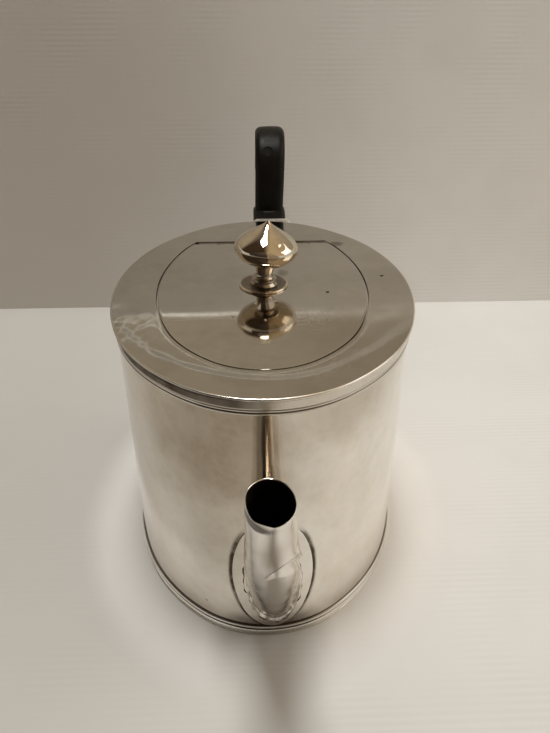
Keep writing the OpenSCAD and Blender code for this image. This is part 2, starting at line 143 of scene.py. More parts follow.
outline, outward = oval(BODY, 480)
print("oval points:", len(outline), "span", np.ptp(outline, axis=0) / MM)

# %% [markdown]
# ## From rings of points to a mesh
# Most pieces here are rings of points joined to their neighbours by four-sided faces. One helper
# takes such a grid, closes it where it should close, marks edges sharper than an angle and
# shades the rest smooth. Polished metal shows every flaw, so shading is never left to chance.

# %% Join rings of points
def piece(name, verts, faces, sharp=35):
    """A new object from points and faces, smooth but for edges over an angle in degrees."""
    mesh = bpy.data.meshes.new(name)
    mesh.from_pydata([tuple(v) for v in verts], [], faces)
    mesh.update()
    made = bmesh.new()
    made.from_mesh(mesh)
    bmesh.ops.recalc_face_normals(made, faces=made.faces)
    for face in made.faces:
        face.smooth = True
    for edge in made.edges:
        edge.smooth = not (edge.is_manifold and edge.calc_face_angle() > math.radians(sharp))
    made.to_mesh(mesh)
    made.free()
    obj = bpy.data.objects.new(name, mesh)
    bpy.context.scene.collection.objects.link(obj)
    return obj


def loft(name, rings, loop=False, cap_first=None, cap_last=None, sharp=35):
    """Joins rings of as many points each. loop joins the last ring to the first, and a cap is a
    single point that closes an end."""
    rings = np.array(rings, float)
    rows, cols = rings.shape[:2]
    verts = list(rings.reshape(-1, 3))
    faces = []
    for i in range(rows if loop else rows - 1):
        for j in range(cols):
            k = (j + 1) % cols
            low, high = i * cols, (i + 1) % rows * cols
            faces.append((low + j, low + k, high + k, high + j))
    for cap, row in ((cap_first, 0), (cap_last, rows - 1)):
        if cap is not None:
            verts.append(cap)
            for j in range(cols):
                faces.append((row * cols + j, row * cols + (j + 1) % cols, len(verts) - 1))
    return piece(name, verts, faces, sharp)


print("points of a ring that goes round the body:", len(outline))

# %% [markdown]
# Wire, sheet and tube all start as a flat section. A sweep carries a section round the body's
# oval, and arcs give the rounded parts of it. Dents and slow waves are sums of soft bells and
# sines rather than sculpted, because they have to be right to a few hundredths of a millimetre.

# %% Sweeps, waves and dents
def sweep(name, profile, shift=None, sharp=35):
    """Sweeps a closed profile of (outwards, height) points round the body's oval."""
    rings = []
    for out, height in profile:
        ring = np.zeros((len(outline), 3))
        ring[:, :2] = outline + out * outward
        ring[:, 2] = height
        if shift is not None:
            ring += shift(ring, out, height)
        rings.append(ring)
    return loft(name, rings, loop=True, sharp=sharp)


def arc(centre, radius, start, end, steps):
    """Points of an arc as (outwards, height), angles in degrees."""
    turns = np.radians(np.linspace(start, end, steps))
    return [(centre[0] + radius * math.cos(t), centre[1] + radius * math.sin(t)) for t in turns]


def ripple(x, y, seed, size):
    """A slow wave over a surface, between -1 and 1. size is the distance between its crests."""
    draw = np.random.default_rng(seed)
    total = 0
    for _ in range(5):
        turn, phase = draw.uniform(0, 2 * math.pi, 2)
        step = 2 * math.pi / size * draw.uniform(0.6, 1.6)
        total = total + np.sin(step * (x * math.cos(turn) + y * math.sin(turn)) + phase)
    return total / 5


def bump_at(places, centre, radius):
    """1 at the centre and falling smoothly to 0, for dents."""
    distance = np.linalg.norm((places - np.array(centre)) / np.array(radius), axis=-1)
    return np.exp(-distance * distance)


wave = ripple(np.linspace(0, 0.1, 400), 0, 3, 26 * MM)
print(f"a slow wave runs from {wave.min():.2f} to {wave.max():.2f}")

# %% [markdown]
# Holes are drilled last on the real pot, and here too. A cutter is taken away from the finished
# sheet by a boolean, which keeps the mesh closed, and the result replaces the mesh at once.

# %% Cutting and reporting
def bar(cutter, matrix, diameter, length, sides=24, wider=0.0):
    """Adds a round bar along the matrix's z axis to a bmesh. wider is added to its far radius."""
    bmesh.ops.create_cone(cutter, cap_ends=True, segments=sides, radius1=diameter / 2,
                          radius2=diameter / 2 + wider, depth=length, matrix=matrix)


def cut_away(obj, cutter, operation="DIFFERENCE"):
    """Cuts the shape in a bmesh out of obj, or joins it to obj."""
    mesh = bpy.data.meshes.new("cutter")
    cutter.to_mesh(mesh)
    cutter.free()
    tool = bpy.data.objects.new("cutter", mesh)
    bpy.context.scene.collection.objects.link(tool)
    cut = obj.modifiers.new("cut", "BOOLEAN")
    cut.object, cut.operation, cut.solver = tool, operation, "EXACT"
    graph = bpy.context.evaluated_depsgraph_get()
    done = bpy.data.meshes.new_from_object(obj.evaluated_get(graph))
    obj.modifiers.clear()
    obj.data = done
    bpy.data.objects.remove(tool)


def report(obj):
    """Prints how many faces a piece has and the box it fills."""
    low = np.array([v.co for v in obj.data.vertices]).min(0) / MM
    high = np.array([v.co for v in obj.data.vertices]).max(0) / MM
    faces = len(obj.data.polygons)
    print(f"{obj.name}: {faces} faces, {np.round(low, 1)} to {np.round(high, 1)} mm")


# %% [markdown]
# ## The wall
# The drum is one strip of sheet bent round and soldered. Years of use leave it a little out of
# true, and in polished metal a wave of a few hundredths of a millimetre already bends what it
# mirrors. So the wall is a dense grid that carries slow waves and a few shallow knocks. Above the
# spout it is pressed a little flat, which widens the spout's image in it.

# %% Bend the wall
WALL_WAVE = 0.05 * MM
# Each knock: place in millimetres, its half sizes and how deep it is
KNOCKS = [((67, -15, 60), (12, 9, 9), 0.10), ((66, 20, 38), (12, 10, 12), 0.08),
          ((30, -46, 50), (14, 12, 16), 0.12), ((55, 34, 62), (12, 7, 10), 0.07),
          ((-20, 48, 40), (16, 12, 14), 0.12), ((62, -24, 25), (10, 5, 4), 0.06)]
# The flat place: its middle across, its half width, where it starts upwards and its depth, in mm
FLAT_MID, FLAT_HALF, FLAT_FROM, FLAT_DEEP = 0.6, 7.5, 50, 0.27


def wall_shift(ring, out, height):
    """Moves a ring of the wall in and out by its waves, knocks and flat place."""
    around = np.arctan2(ring[:, 1] / BODY[1], ring[:, 0] / BODY[0]) * BODY[0]
    edge = min(1, (height - wall_low.z) / (8 * MM), (wall_high.z - height) / (8 * MM))
    depth = WALL_WAVE * ripple(around, height, 3, 26 * MM) * max(edge, 0)
    for place, size, deep in KNOCKS:
        depth = depth - deep * MM * max(edge, 0) * bump_at(
            ring, np.array(place) * MM, np.array(size) * MM)
    flat = np.clip(1 - ((ring[:, 1] / MM - FLAT_MID) / FLAT_HALF) ** 2, 0, 1) ** 2
    flat = flat * (ring[:, 0] > 0) * np.clip((height / MM - FLAT_FROM) / 9, 0, 1)
    depth = depth - FLAT_DEEP * MM * flat * max(0, min(1, (wall_high.z - height) / (5 * MM)))
    moved = np.zeros_like(ring)
    moved[:, :2] = outward * depth[:, None]
    return moved


heights = np.linspace(wall_low.z, wall_high.z, 61)
profile = [(0, z) for z in heights] + [(-WALL_THICK, z) for z in heights[::-1]]
wall = sweep("wall", profile, wall_shift)
report(wall)

# %% [markdown]
# The strainer keeps the leaves out of the spout. Its holes stand in staggered rows inside the oval
# that the spout covers, so rows and columns are counted first and the places outside are left
# out.

# %% Drill the strainer
ROOT_LOW, ROOT_HIGH = 8 * MM, 48 * MM
SPOUT_SIDE = 1.8 * MM
root_mid = (ROOT_LOW + ROOT_HIGH) / 2
ROOT_SIDE = SPOUT_SIDE * (spout_high.z - root_mid) / (spout_high.z - ROOT_LOW)
HOLE_D, HOLE_PITCH = 2.4 * MM, 3.9 * MM
STRAINER_HALF = np.array([5.8, 17.0]) * MM


def strainer_places():
    """Centres of the holes as (y, z), in staggered rows inside an oval."""
    step = HOLE_PITCH * math.sin(math.radians(60))
    rows = int(STRAINER_HALF[1] / step)
    for row in range(-rows, rows + 1):
        for column in range(-2, 3):
            y = HOLE_PITCH * (column + (0.5 if row % 2 else 0))
            if np.hypot(y / STRAINER_HALF[0], row * step / STRAINER_HALF[1]) <= 1:
                yield ROOT_SIDE + y, root_mid + row * step


holes = list(strainer_places())
drills = bmesh.new()
for y, z in holes:
    bar(drills, Matrix.Translation((BODY[0], y, z)) @ Matrix.Rotation(math.pi / 2, 4, "Y"),
        HOLE_D, 6 * MM)
cut_away(wall, drills)
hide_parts("body_wall")
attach(wall, "pot")
print("strainer holes:", len(holes))

# %% [markdown]
# ## The two mouldings
# Reeded wire is drawn through a shaped plate, bent round the body and soldered on. A sweep does
# the same: the wire's section is carried round the oval. Each section below is walked as one
# closed line of short arcs, so that the grooves stay crisp and the reeds stay round.

# %% Sections of the foot and the shoulder
FOOT_REACH, FOOT_LEDGE, FOOT_INSIDE = 0.9, 0.8, 2
BAND = 0.25
ROLL_R, REED_R, SHOULDER_R = 1.254, 0.76, 0.546
SHOULDER_REACH, SHOULDER_STRIP = 0.7, 2.1
foot_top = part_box("foot_moulding")[1].z / MM
strip_top = plate_low.z / MM
shoulder_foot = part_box("shoulder_moulding")[0].z / MM

roll_mid = (FOOT_REACH - ROLL_R, FOOT_LEDGE + 0.8 * ROLL_R)
reed_mid = (0.8 * FOOT_REACH - REED_R, foot_top - BAND - REED_R)
foot_line = ([(-FOOT_INSIDE, 0), (0.5, 0), (FOOT_REACH - BAND, 0.12),
              (FOOT_REACH - BAND, FOOT_LEDGE - 0.1)]
             + arc(roll_mid, ROLL_R, -53, 60, 14) + arc(reed_mid, REED_R, -68, 68, 12)
             + [(BAND, foot_top - 0.1), (BAND - 0.1, foot_top), (0, foot_top), (0, FOOT_LEDGE),
                (-FOOT_INSIDE, FOOT_LEDGE)])
strip_low = strip_top - SHOULDER_STRIP
reed_x = SHOULDER_REACH - SHOULDER_R
shoulder_line = ([(0, strip_top), (SHOULDER_REACH - 0.1, strip_top),
                  (SHOULDER_REACH, strip_top - 0.1), (SHOULDER_REACH, strip_low + 0.1),
                  (SHOULDER_REACH - 0.08, strip_low), (0.46, strip_low)]
                 + arc((reed_x, strip_low - 0.8 * SHOULDER_R), SHOULDER_R, 50, -62, 12)
                 + arc((reed_x, strip_low - 2.6 * SHOULDER_R), SHOULDER_R, 62, -78, 12)
                 + [(BAND, shoulder_foot + 0.1), (BAND - 0.1, shoulder_foot), (0, shoulder_foot)])
print("points in a section: foot", len(foot_line), "shoulder", len(shoulder_line))

# %% [markdown]
# A wire set by hand wavers a little, and the solder has let go of the top at the left of the
# front, which leaves a dark seam. Both are shifts of the swept rings, so they cost no extra faces.

# %% Carry the wires round the body
RIM_SLOPE = 0.05
RIM_WIDE = 14 * MM
SEAM_AT, SEAM_HALF = -42, 19


def rising(x):
    """Share of the rim's rise: none at the back, all of it from the middle forwards."""
    return np.clip((x / MM + 55) / 40, 0, 1)


def seam(xy):
    """How far the top has come away from the strip under it, at the left of the front."""
    around = np.degrees(np.arctan2(xy[:, 1] / BODY[1], xy[:, 0] / BODY[0]))
    open_part = np.exp(-((around - SEAM_AT) / SEAM_HALF) ** 2) * (1 + 0.2 * np.sin(around * 0.5))
    return (0.06 + 0.5 * open_part) * MM


def wire(name, line, node, seed):
    """A moulding from its section in millimetres, with the slight waver of a hand-set wire. What
    is at the very top of it follows the raised rim of the pot's top."""
    def waver(ring, out, height):
        moved = np.zeros_like(ring)
        if out > 0:
            size = 0.03 * MM * ripple(ring[:, 0], ring[:, 1], seed, 30 * MM)
            moved[:, :2] = outward * size[:, None]
        if height > (strip_top - 0.3) * MM:
            moved[:, 2] = RIM_SLOPE * RIM_WIDE * rising(ring[:, 0]) - seam(ring)
        return moved
    made = sweep(name, [(x * MM, z * MM) for x, z in line], waver, sharp=30)
    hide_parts(node)
    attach(made, "pot")
    report(made)
    return made


foot = wire("foot_wire", foot_line, "foot_moulding", 5)
shoulder = wire("shoulder_wire", shoulder_line, "shoulder_moulding", 6)

# %% [markdown]
# ## The flat top
# The top is a ring of sheet with the lid's opening sawn out. The opening is the lid's oval, cut
# straight across at the hinge. To join it to the rim without twisting, both loops are read at the
# same angles round one middle.

# %% Loops between the opening and the rim
def clipped(half, grow, back, count):
    """Loop of the lid's oval, grown by so much and cut straight across at x = back. Its first
    point and the last point of the curve are the two corners."""
    ring, outs = oval(half, 4000)
    ring = ring + grow * outs
    ring[:, 0] -= LID_SETBACK
    keep = np.roll(ring, 2000, axis=0)
    keep = keep[keep[:, 0] > back]
    low = np.interp(back, keep[:40, 0], keep[:40, 1]) if keep[0, 0] < back else keep[0, 1]
    curve = np.vstack([[back, low], keep, [back, -low]])
    length = np.concatenate([[0], np.cumsum(np.linalg.norm(np.diff(curve, axis=0), axis=1))])
    straight = abs(2 * low)
    bent = round(count * length[-1] / (length[-1] + straight))
    stops = np.linspace(0, length[-1], bent)
    line = np.stack([np.interp(stops, length, curve[:, k]) for k in (0, 1)], axis=1)
    sides = np.linspace(-low, low, count - bent + 2)[1:-1]
    return np.vstack([line, np.stack([np.full(len(sides), back), sides], axis=1)])


def at_angles(loop, angles, centre):
    """Points of a loop seen from a centre at these angles."""
    seen = np.unwrap(np.arctan2(loop[:, 1] - centre[1], loop[:, 0] - centre[0]))
    order = np.argsort(seen % (2 * math.pi))
    turns = (seen % (2 * math.pi))[order]
    turns = np.concatenate([[turns[-1] - 2 * math.pi], turns, [turns[0] + 2 * math.pi]])
    order = np.concatenate([[order[-1]], order, [order[0]]])
    return np.stack([np.interp(angles % (2 * math.pi), turns, loop[order, k]) for k in (0, 1)],
                    axis=1)


AROUND = 480
BARREL_R = 1.1 * MM
opening = clipped(LID, LID_GAP, HINGE_X - BARREL_R - 0.1 * MM, AROUND)
middle = np.array([-LID_SETBACK, 0])
angles = np.arctan2(opening[:, 1] - middle[1], opening[:, 0] - middle[0])
dense, dense_out = oval(BODY, 4000)
EDGE_R = PLATE_THICK / 2
rim_loop = at_angles(dense + (OVERHANG - EDGE_R) * dense_out, angles, middle)
rim_out = at_angles(dense + OVERHANG * dense_out, angles, middle) - rim_loop
rim_out /= np.linalg.norm(rim_out, axis=1)[:, None]
print("opening corners:", np.round(opening[0] / MM, 1), "loops of", len(opening))

# %% [markdown]
# The top rises very slightly to its rim, by less than a millimetre. It bends once more close round
# the lid, where the seat is soldered under it, and it is a little buckled at the left. None of it
# would be seen in wood, but polished metal turns each bend into a pale or dark line.

# %% Shape of the top's surface
TOP_WAVE = 0.02 * MM
BUCKLE_AT, BUCKLE_SIZE = (33 * MM, -46 * MM), (12 * MM, 10 * MM)
# The bend round the lid: how far off the opening, its height and its half width, in millimetres
BEND_OFF, BEND_HIGH, BEND_HALF = 4.2, 0.10, 1.7


def top_height(xy, off):
    """How far the top stands above its true level at points so far off the opening's edge."""
    x, y = xy[:, 0], xy[:, 1]
    rise = RIM_SLOPE * off * np.clip(off / (2 * MM), 0, 1) * rising(x)
    around = np.degrees(np.arctan2(y / BODY[1], x / BODY[0]))
    bend_at = BEND_OFF + 3.4 * (around / 38) ** 2 + 0.4 * np.sin(np.radians(around * 6))
    bend = np.tanh((off / MM - bend_at) / BEND_HALF) * np.exp(-(around / 80) ** 4)
    rise = rise + BEND_HIGH * MM * bend
    wave = TOP_WAVE * ripple(x, y, 11, 16 * MM)
    wave = wave + 0.05 * MM * bump_at(xy, BUCKLE_AT, BUCKLE_SIZE) * ripple(x, y, 12, 5.5 * MM)
    return rise + wave * np.clip(off / (2 * MM), 0, 1)


def level(xy, z):
    """A loop of the top at this height, with the shape of the surface added."""
    off = np.linalg.norm(xy - opening, axis=1)
    return np.column_stack([xy, top_height(xy, off) + z])


rise_at_rim = top_height(rim_loop, np.linalg.norm(rim_loop - opening, axis=1)) / MM
print(f"the rim stands {rise_at_rim.min():.2f} to {rise_at_rim.max():.2f} mm above the opening")

# %% [markdown]
# The ring is built of closed loops that run from the opening out to the rim, over the rounded edge
# and back below. Faces inside the gap and below get a second finish, since no cloth reaches
# them, and the rim's edge gets a third.

# %% Build the top
BEVEL = 0.12 * MM
rings = []
for share in [0, 0.006] + list(np.linspace(0.02, 1, 48)):
    xy = opening + share * (rim_loop - opening)
    rings.append(level(xy, TOP - (BEVEL if share == 0 else 0)))
for turn in np.radians(np.linspace(75, -90, 12)):
    xy = rim_loop + EDGE_R * math.cos(turn) * rim_out
    rings.append(level(xy, TOP - EDGE_R + EDGE_R * math.sin(turn)))
for share in (0.8, 0.5, 0.2, 0):
    xy = opening + share * (rim_loop - opening)
    rings.append(level(xy, TOP - PLATE_THICK))
top = loft("top", rings, loop=True)


def mark(obj, test):
    """Gives the faces that pass a test of their middle and direction the second finish."""
    for face in obj.data.polygons:
        if test(face.center, face.normal):
            face.material_index = 1


def out_of(centre):
    """How far out a place is, where 1 is near the wall."""
    return math.hypot(centre.x / BODY[0], centre.y / BODY[1])


mark(top, lambda c, n: abs(n.z) < 0.5 and out_of(c) < 0.93 or n.z < -0.6)
for face in top.data.polygons:
    if out_of(face.center) > 1.008 and -0.6 <= face.normal.z < 0.96:
        face.material_index = 2
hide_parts("top_plate")
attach(top, "pot")
report(top)

# %% [markdown]
# ## The lid
# The lid is the piece that came out of the opening, so it uses the same loop without the gap.
# Rings shrink from its edge to the knob's place. It is the truest mirror on the pot, so its waves
# are only a hundredth of a millimetre or so. The vent is drilled through last.

# %% The lid's plate and its vent
LID_BACK = HINGE_X + BARREL_R + 0.3 * MM
LID_WAVE = 0.008 * MM
KNOB = np.array([-2.8, 0.4]) * MM
edge_loop = clipped(LID, -0.12 * MM, LID_BACK, AROUND)


def lid_level(xy, z):
    """A loop of the lid at this height, with its faint waves."""
    wave = LID_WAVE * ripple(xy[:, 0], xy[:, 1], 21, 30 * MM)
    return np.column_stack([xy, wave + z])


shares = [0.15, 0.3] + list(np.linspace(0.4, 0.985, 24)) + [0.995]
top_side = [lid_level(KNOB + s * (edge_loop - KNOB), TOP) for s in shares]
edge = [lid_level(edge_loop, TOP - BEVEL), lid_level(edge_loop, TOP - PLATE_THICK + BEVEL)]
under = [lid_level(KNOB + s * (edge_loop - KNOB), TOP - PLATE_THICK) for s in shares[::-2]]
lid = loft("lid", top_side + edge + under, cap_first=(*KNOB, TOP),
           cap_last=(*KNOB, TOP - PLATE_THICK))
VENT = (4.4 * MM, 22.6 * MM)
VENT_D = 1.3 * MM
vent_drill = bmesh.new()
bar(vent_drill, Matrix.Translation((*VENT, TOP)), VENT_D, 4 * MM)
cut_away(lid, vent_drill)
mark(lid, lambda c, n: abs(n.z) < 0.5)
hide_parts("lid_plate")
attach(lid, "lid")
report(lid)

# %% [markdown]
# ## The spout
# A cone of sheet, flattened sideways and cut level at its mouth. It could be cut to the wall by a
# boolean, but that leaves ragged faces where the shading matters most. So each straight line along
# the cone is started where it meets the wall, and the root follows the drum by itself.

# %% Lines of the spout, from the wall to the mouth
MOUTH_LONG, MOUTH_WIDE = 15.7 * MM, 12.0 * MM
MOUTH_Z = spout_high.z
MOUTH_X = spout_high.x - MOUTH_LONG / 2
FLAT = MOUTH_WIDE / MOUTH_LONG
back_slope = (spout_high.x - MOUTH_LONG - BODY[0]) / (MOUTH_Z - ROOT_HIGH)
low_back = BODY[0] - back_slope * (ROOT_HIGH - ROOT_LOW)
LOW_X, LOW_R = (BODY[0] + low_back) / 2, (BODY[0] - low_back) / 2
SPOUT_THICK = 0.6 * MM
SIDES = 144
ROUND = 2 * math.pi * np.arange(SIDES) / SIDES


def wall_x(y):
    """x of the wall at the spout's end, for each y."""
    quarter = dense[(dense[:, 0] > 0)]
    order = np.argsort(quarter[:, 1])
    return np.interp(y, quarter[order, 1], quarter[order, 0])


def spout_lines(inset):
    """For each line its start at the wall and its end at the mouth."""
    across = np.stack([np.cos(ROUND), FLAT * np.sin(ROUND)], axis=1)
    shrink = inset / FLAT
    low = np.column_stack([LOW_X + (LOW_R - shrink) * across[:, 0],
                           SPOUT_SIDE + (LOW_R - shrink) * across[:, 1],
                           np.full(SIDES, ROOT_LOW)])
    high = np.column_stack([MOUTH_X + (MOUTH_LONG / 2 - shrink) * across[:, 0],
                            (MOUTH_LONG / 2 - shrink) * across[:, 1], np.full(SIDES, MOUTH_Z)])
    start, end = np.full(SIDES, -0.2), np.ones(SIDES)
    for _ in range(40):
        half = (start + end) / 2
        at = low + half[:, None] * (high - low)
        inside = at[:, 0] < wall_x(at[:, 1])
        start, end = np.where(inside, half, start), np.where(inside, end, half)
    return low + start[:, None] * (high - low), high


outer_low, outer_high = spout_lines(0)
inner_low, inner_high = spout_lines(SPOUT_THICK)
print(f"{SIDES} lines along a spout that rises {(spout_high.z - spout_low.z) / MM:.1f} mm")

# %% [markdown]
# The sheet has been knocked. A fold runs across its lower right, where a flat facet meets metal
# that stands proud, and the lip is bent in at one side. Both are given by distances from a plane
# or a corner, because a crease has to stay crisp between two rows of points.

# %% Belly, fold and bent lip
# How far the belly stands out, the height of its middle and its half height, in millimetres
BELLY, BELLY_Z, BELLY_HALF = 0.75, 43, 17
FOLD_AT, FOLD_UP = np.array([91.7, -1.4, 52.5]), np.array([0.642, 0.539, -0.544])
FOLD_RUN = np.array([-0.275, 0.825, 0.493])


def spout_form(at, along):
    """Moves points of the spout: its belly, dents, the fold and the bent lip."""
    out = np.stack([np.cos(ROUND) * FLAT, np.sin(ROUND), np.zeros_like(ROUND)], axis=-1)
    out /= np.linalg.norm(out, axis=-1)[:, None]
    free = min(1, 6 * along)
    deep = BELLY * np.abs(np.sin(ROUND)) * np.exp(-((at[:, 2] / MM - BELLY_Z) / BELLY_HALF) ** 2)
    deep = deep + 0.07 * ripple(ROUND * 9 * MM, at[:, 2], 31, 15 * MM)
    off = at / MM - FOLD_AT
    above, run = off @ FOLD_UP, off @ FOLD_RUN
    share = np.clip(run / 10, 0, 1)
    facet = np.clip(1 - above / (0.9 + 3.6 * share ** 1.3), 0, 1) * np.clip(above / 0.04, 0, 1)
    proud = np.exp(-(above / 1.2) ** 2) * (above < 0) * share
    front = np.clip(run / 2.5, 0, 1) * np.clip(np.cos(ROUND) * 5 + 1.5, 0, 1)
    deep = deep + (0.5 * proud - (1.0 + 0.5 * share) * facet) * front
    moved = at + free * MM * deep[:, None] * out
    lip = max(0, along - 0.84) / 0.16
    lean = 0.22 * np.sin(2 * ROUND + 0.6) + 0.12 * np.sin(3 * ROUND + 2.1)
    moved = moved + lip * lip * MM * lean[:, None] * out
    corner = -0.42 * (moved[:, 1] / MM + 5.4) + 0.85 * (moved[:, 0] - MOUTH_X) / MM - 4.3
    pressed = np.clip(corner, 0, 3) * (moved[:, 1] < 3 * MM)
    moved[:, 0] -= lip ** 3 * 0.75 * pressed * MM
    return moved


bent = np.linalg.norm(spout_form(outer_high, 1) - outer_high, axis=1) / MM
print(f"the lip is moved by up to {bent.max():.2f} mm")

# %% [markdown]
# The tube is one closed skin: rings up the outside, a thin rounded lip, and rings down the inside
# until it is back at the wall. The rings stand closest where the fold is.

# %% Build the tube
rings = []
stations = np.concatenate([np.linspace(0, 0.40, 40), np.linspace(0.402, 0.70, 140),
                           np.linspace(0.71, 1, 36)])
for along in stations:
    rings.append(spout_form(outer_low + along * (outer_high - outer_low), along))
last = rings[-1]
LIP_THICK = 0.28
thick = (LIP_THICK * (1 + 0.5 * np.cos(ROUND - 3.6)))[:, None]
toward = spout_form(inner_high, 1) - last
toward /= np.linalg.norm(toward, axis=1)[:, None]
for lean, rise in ((0.12, 0.06), (0.5, 0.12), (0.88, 0.06)):
    rings.append(last + lean * thick * MM * toward + np.array([0, 0, rise * MM]))
rings.append(last + thick * MM * toward)
for along in np.linspace(0.97, 0, 50):
    at = spout_form(inner_low + along * (inner_high - inner_low), along)
    near_lip = max(0, along - 0.8) / 0.2
    out_at = spout_form(outer_low + along * (outer_high - outer_low), along)
    thin = out_at + thick * MM * toward
    rings.append(at + near_lip * (thin - at))
spout = loft("spout_tube", rings, loop=True, sharp=40)
OUTSIDE = len(stations) + 3
for face in spout.data.polygons:
    if OUTSIDE <= face.index // SIDES < len(rings) - 1:
        face.material_index = 1
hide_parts("spout")
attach(spout, "pot")
report(spout)

# %% [markdown]
# ## The sheet round the spout's root
# A thin drop of sheet spreads the spout's pull over the wall. It lies on the wall and is sealed to
# the spout with solder that ran unevenly, so its inner edge climbs the spout by a wandering
# amount.

# %% Outline of the sheet
FLANGE_THICK = 0.6 * MM
FLANGE_MARGIN = 3.8 * MM
FLANGE_UP = 0.7 * MM
flange_half = ((ROOT_HIGH - ROOT_LOW) / 2 + FLANGE_MARGIN, LOW_R * FLAT + FLANGE_MARGIN)
rim_pts, _ = oval(flange_half, 4000)
flange_rim = np.column_stack([ROOT_SIDE + rim_pts[:, 1], root_mid + FLANGE_UP + rim_pts[:, 0]])
flange_rim[:, 1] = np.clip(flange_rim[:, 1], foot_top * MM, shoulder_foot * MM)
root = outer_low[:, 1:]
root_angle = np.arctan2(root[:, 1] - root_mid, root[:, 0] - ROOT_SIDE)
rim_yz = at_angles(flange_rim, root_angle, (ROOT_SIDE, root_mid))


def on_wall(yz, lift):
    """Points of the wall at these places, lifted off it."""
    return np.column_stack([wall_x(yz[:, 0]) + lift, yz])


sheet_size, solid_size = np.ptp(rim_yz, axis=0) / MM, (flange_high - flange_low) / MM
print(f"the sheet is {sheet_size[0]:.1f} by {sheet_size[1]:.1f} mm and its solid "
      f"{solid_size.y:.1f} by {solid_size.z:.1f}")

# %% [markdown]
# Solder is what gives such a joint away: it never stops on a clean line. A sum of odd waves round
# the root sets how far it climbs the spout and how wide it spreads, and a thin dark line
# follows it.

# %% The solder and the sheet
draw = np.random.default_rng(41)
ragged = sum(draw.uniform(0.3, 1) * np.sin(k * ROUND + draw.uniform(0, 6)) for k in range(3, 30, 2))
climb = (0.9 + 0.16 * ragged) * MM
up_spout = outer_high - outer_low
up_spout /= np.linalg.norm(up_spout, axis=1)[:, None]
rings = [outer_low + climb[:, None] * up_spout + np.array([0.1 * MM, 0, 0])]
spread = (0.9 + 0.12 * np.roll(ragged, 9)) * MM
away = (rim_yz - root) / np.linalg.norm(rim_yz - root, axis=1)[:, None]
rings.append(on_wall(root + 0.45 * spread[:, None] * away, FLANGE_THICK + 0.25 * MM))
rings.append(on_wall(root + spread[:, None] * away, FLANGE_THICK + 0.02 * MM))
line = (0.2 + 0.24 * np.clip(np.roll(ragged, 30), -0.5, 1.5)) * MM
rings.append(on_wall(root + (spread + line)[:, None] * away, FLANGE_THICK))
for share in (0.35, 0.6, 0.85, 0.97):
    rings.append(on_wall(root + share * (rim_yz - root), FLANGE_THICK))
rings.append(on_wall(root + 0.995 * (rim_yz - root), FLANGE_THICK - 0.1 * MM))
rings.append(on_wall(rim_yz, 0))
rings.append(on_wall(root, 0))
flange = loft("spout_sheet", rings, loop=True, sharp=30)
for face in flange.data.polygons:
    if face.index // SIDES in (2, 8, 9) and face.center.z < 47 * MM:
        face.material_index = 1
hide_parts("spout_flange")
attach(flange, "pot")
report(flange)

# %% [markdown]
# ## The knob
# Turned parts are a revolved section. This one leans slightly, as it was bent on its screw, and
# its bulb has been tapped, so its reflections break up into soft facets.

# %% Turn the knob
KNOB_D, KNOB_HIGH, KNOB_WAIST = 22.2, 24.3, 5.8
KNOB_LEAN = math.radians(4.5)
KNOB_SIDES = 128
PIT_AT, PIT_SIZE = (7.5, 4.6, 17.2), (1.0, 1.0, 0.8)


def knob_line():
    """Half of the knob's section in millimetres, from its foot to its point."""
    waist, bulb = KNOB_WAIST / 2, KNOB_D / 2
    low, mid = 0.34 * KNOB_HIGH, 0.59 * KNOB_HIGH
    line = [(waist + 2, 0.2), (waist + 2, 1.0)]
    line += arc((waist + 0.8, 2.3), 0.6, -50, 90, 8) + arc((waist + 1.6, 4.5), 1.6, 270, 180, 12)
    for turn in np.radians(np.linspace(6, 90, 20)):
        line.append((waist + (bulb - waist) * math.sin(turn), mid - (mid - low) * math.cos(turn)))
    for rise in np.linspace(0, 0.985, 34)[1:]:
        line.append((bulb * (1 - rise ** 1.85) ** 1.77, mid + (KNOB_HIGH - mid) * rise))
    return line


def on_lathe(line, shape=lambda turn, height: 1):
    """A ring of points for each (radius, height) of a section."""
    turn = 2 * math.pi * np.arange(KNOB_SIDES) / KNOB_SIDES
    rings = []
    for radius, height in line:
        r = radius * shape(turn, height)
        rings.append(np.column_stack([r * np.cos(turn), r * np.sin(turn),
                                      np.full(KNOB_SIDES, height)]))
    return rings


knob_rings = on_lathe(knob_line(), lambda turn, height: 1 + 0.006 * np.cos(
    9 * turn + 0.05 * height) * (height > 7))
for ring in knob_rings:
    ring[:, :2] *= 1 - 0.05 * bump_at(ring, PIT_AT, PIT_SIZE)[:, None]
lean = Matrix.Rotation(-KNOB_LEAN, 3, "X")
base = Vector((*KNOB, TOP))


def leaned(point):
    """A place on the upright knob, in millimetres, moved to the leaning one."""
    return base + lean @ (Vector(point) * MM)


knob = loft("knob_turned", [[leaned(p) for p in ring] for ring in knob_rings],
            cap_first=leaned((0, 0, 0.2)), cap_last=leaned((0, 0, KNOB_HIGH)))
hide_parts("knob")
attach(knob, "lid")
report(knob)

# %% [markdown]
# Between the knob and the lid lies a thin disc with a rounded edge. It is turned in the same way,
# but it stays level, because it is drawn flat on to the lid by the knob's screw.

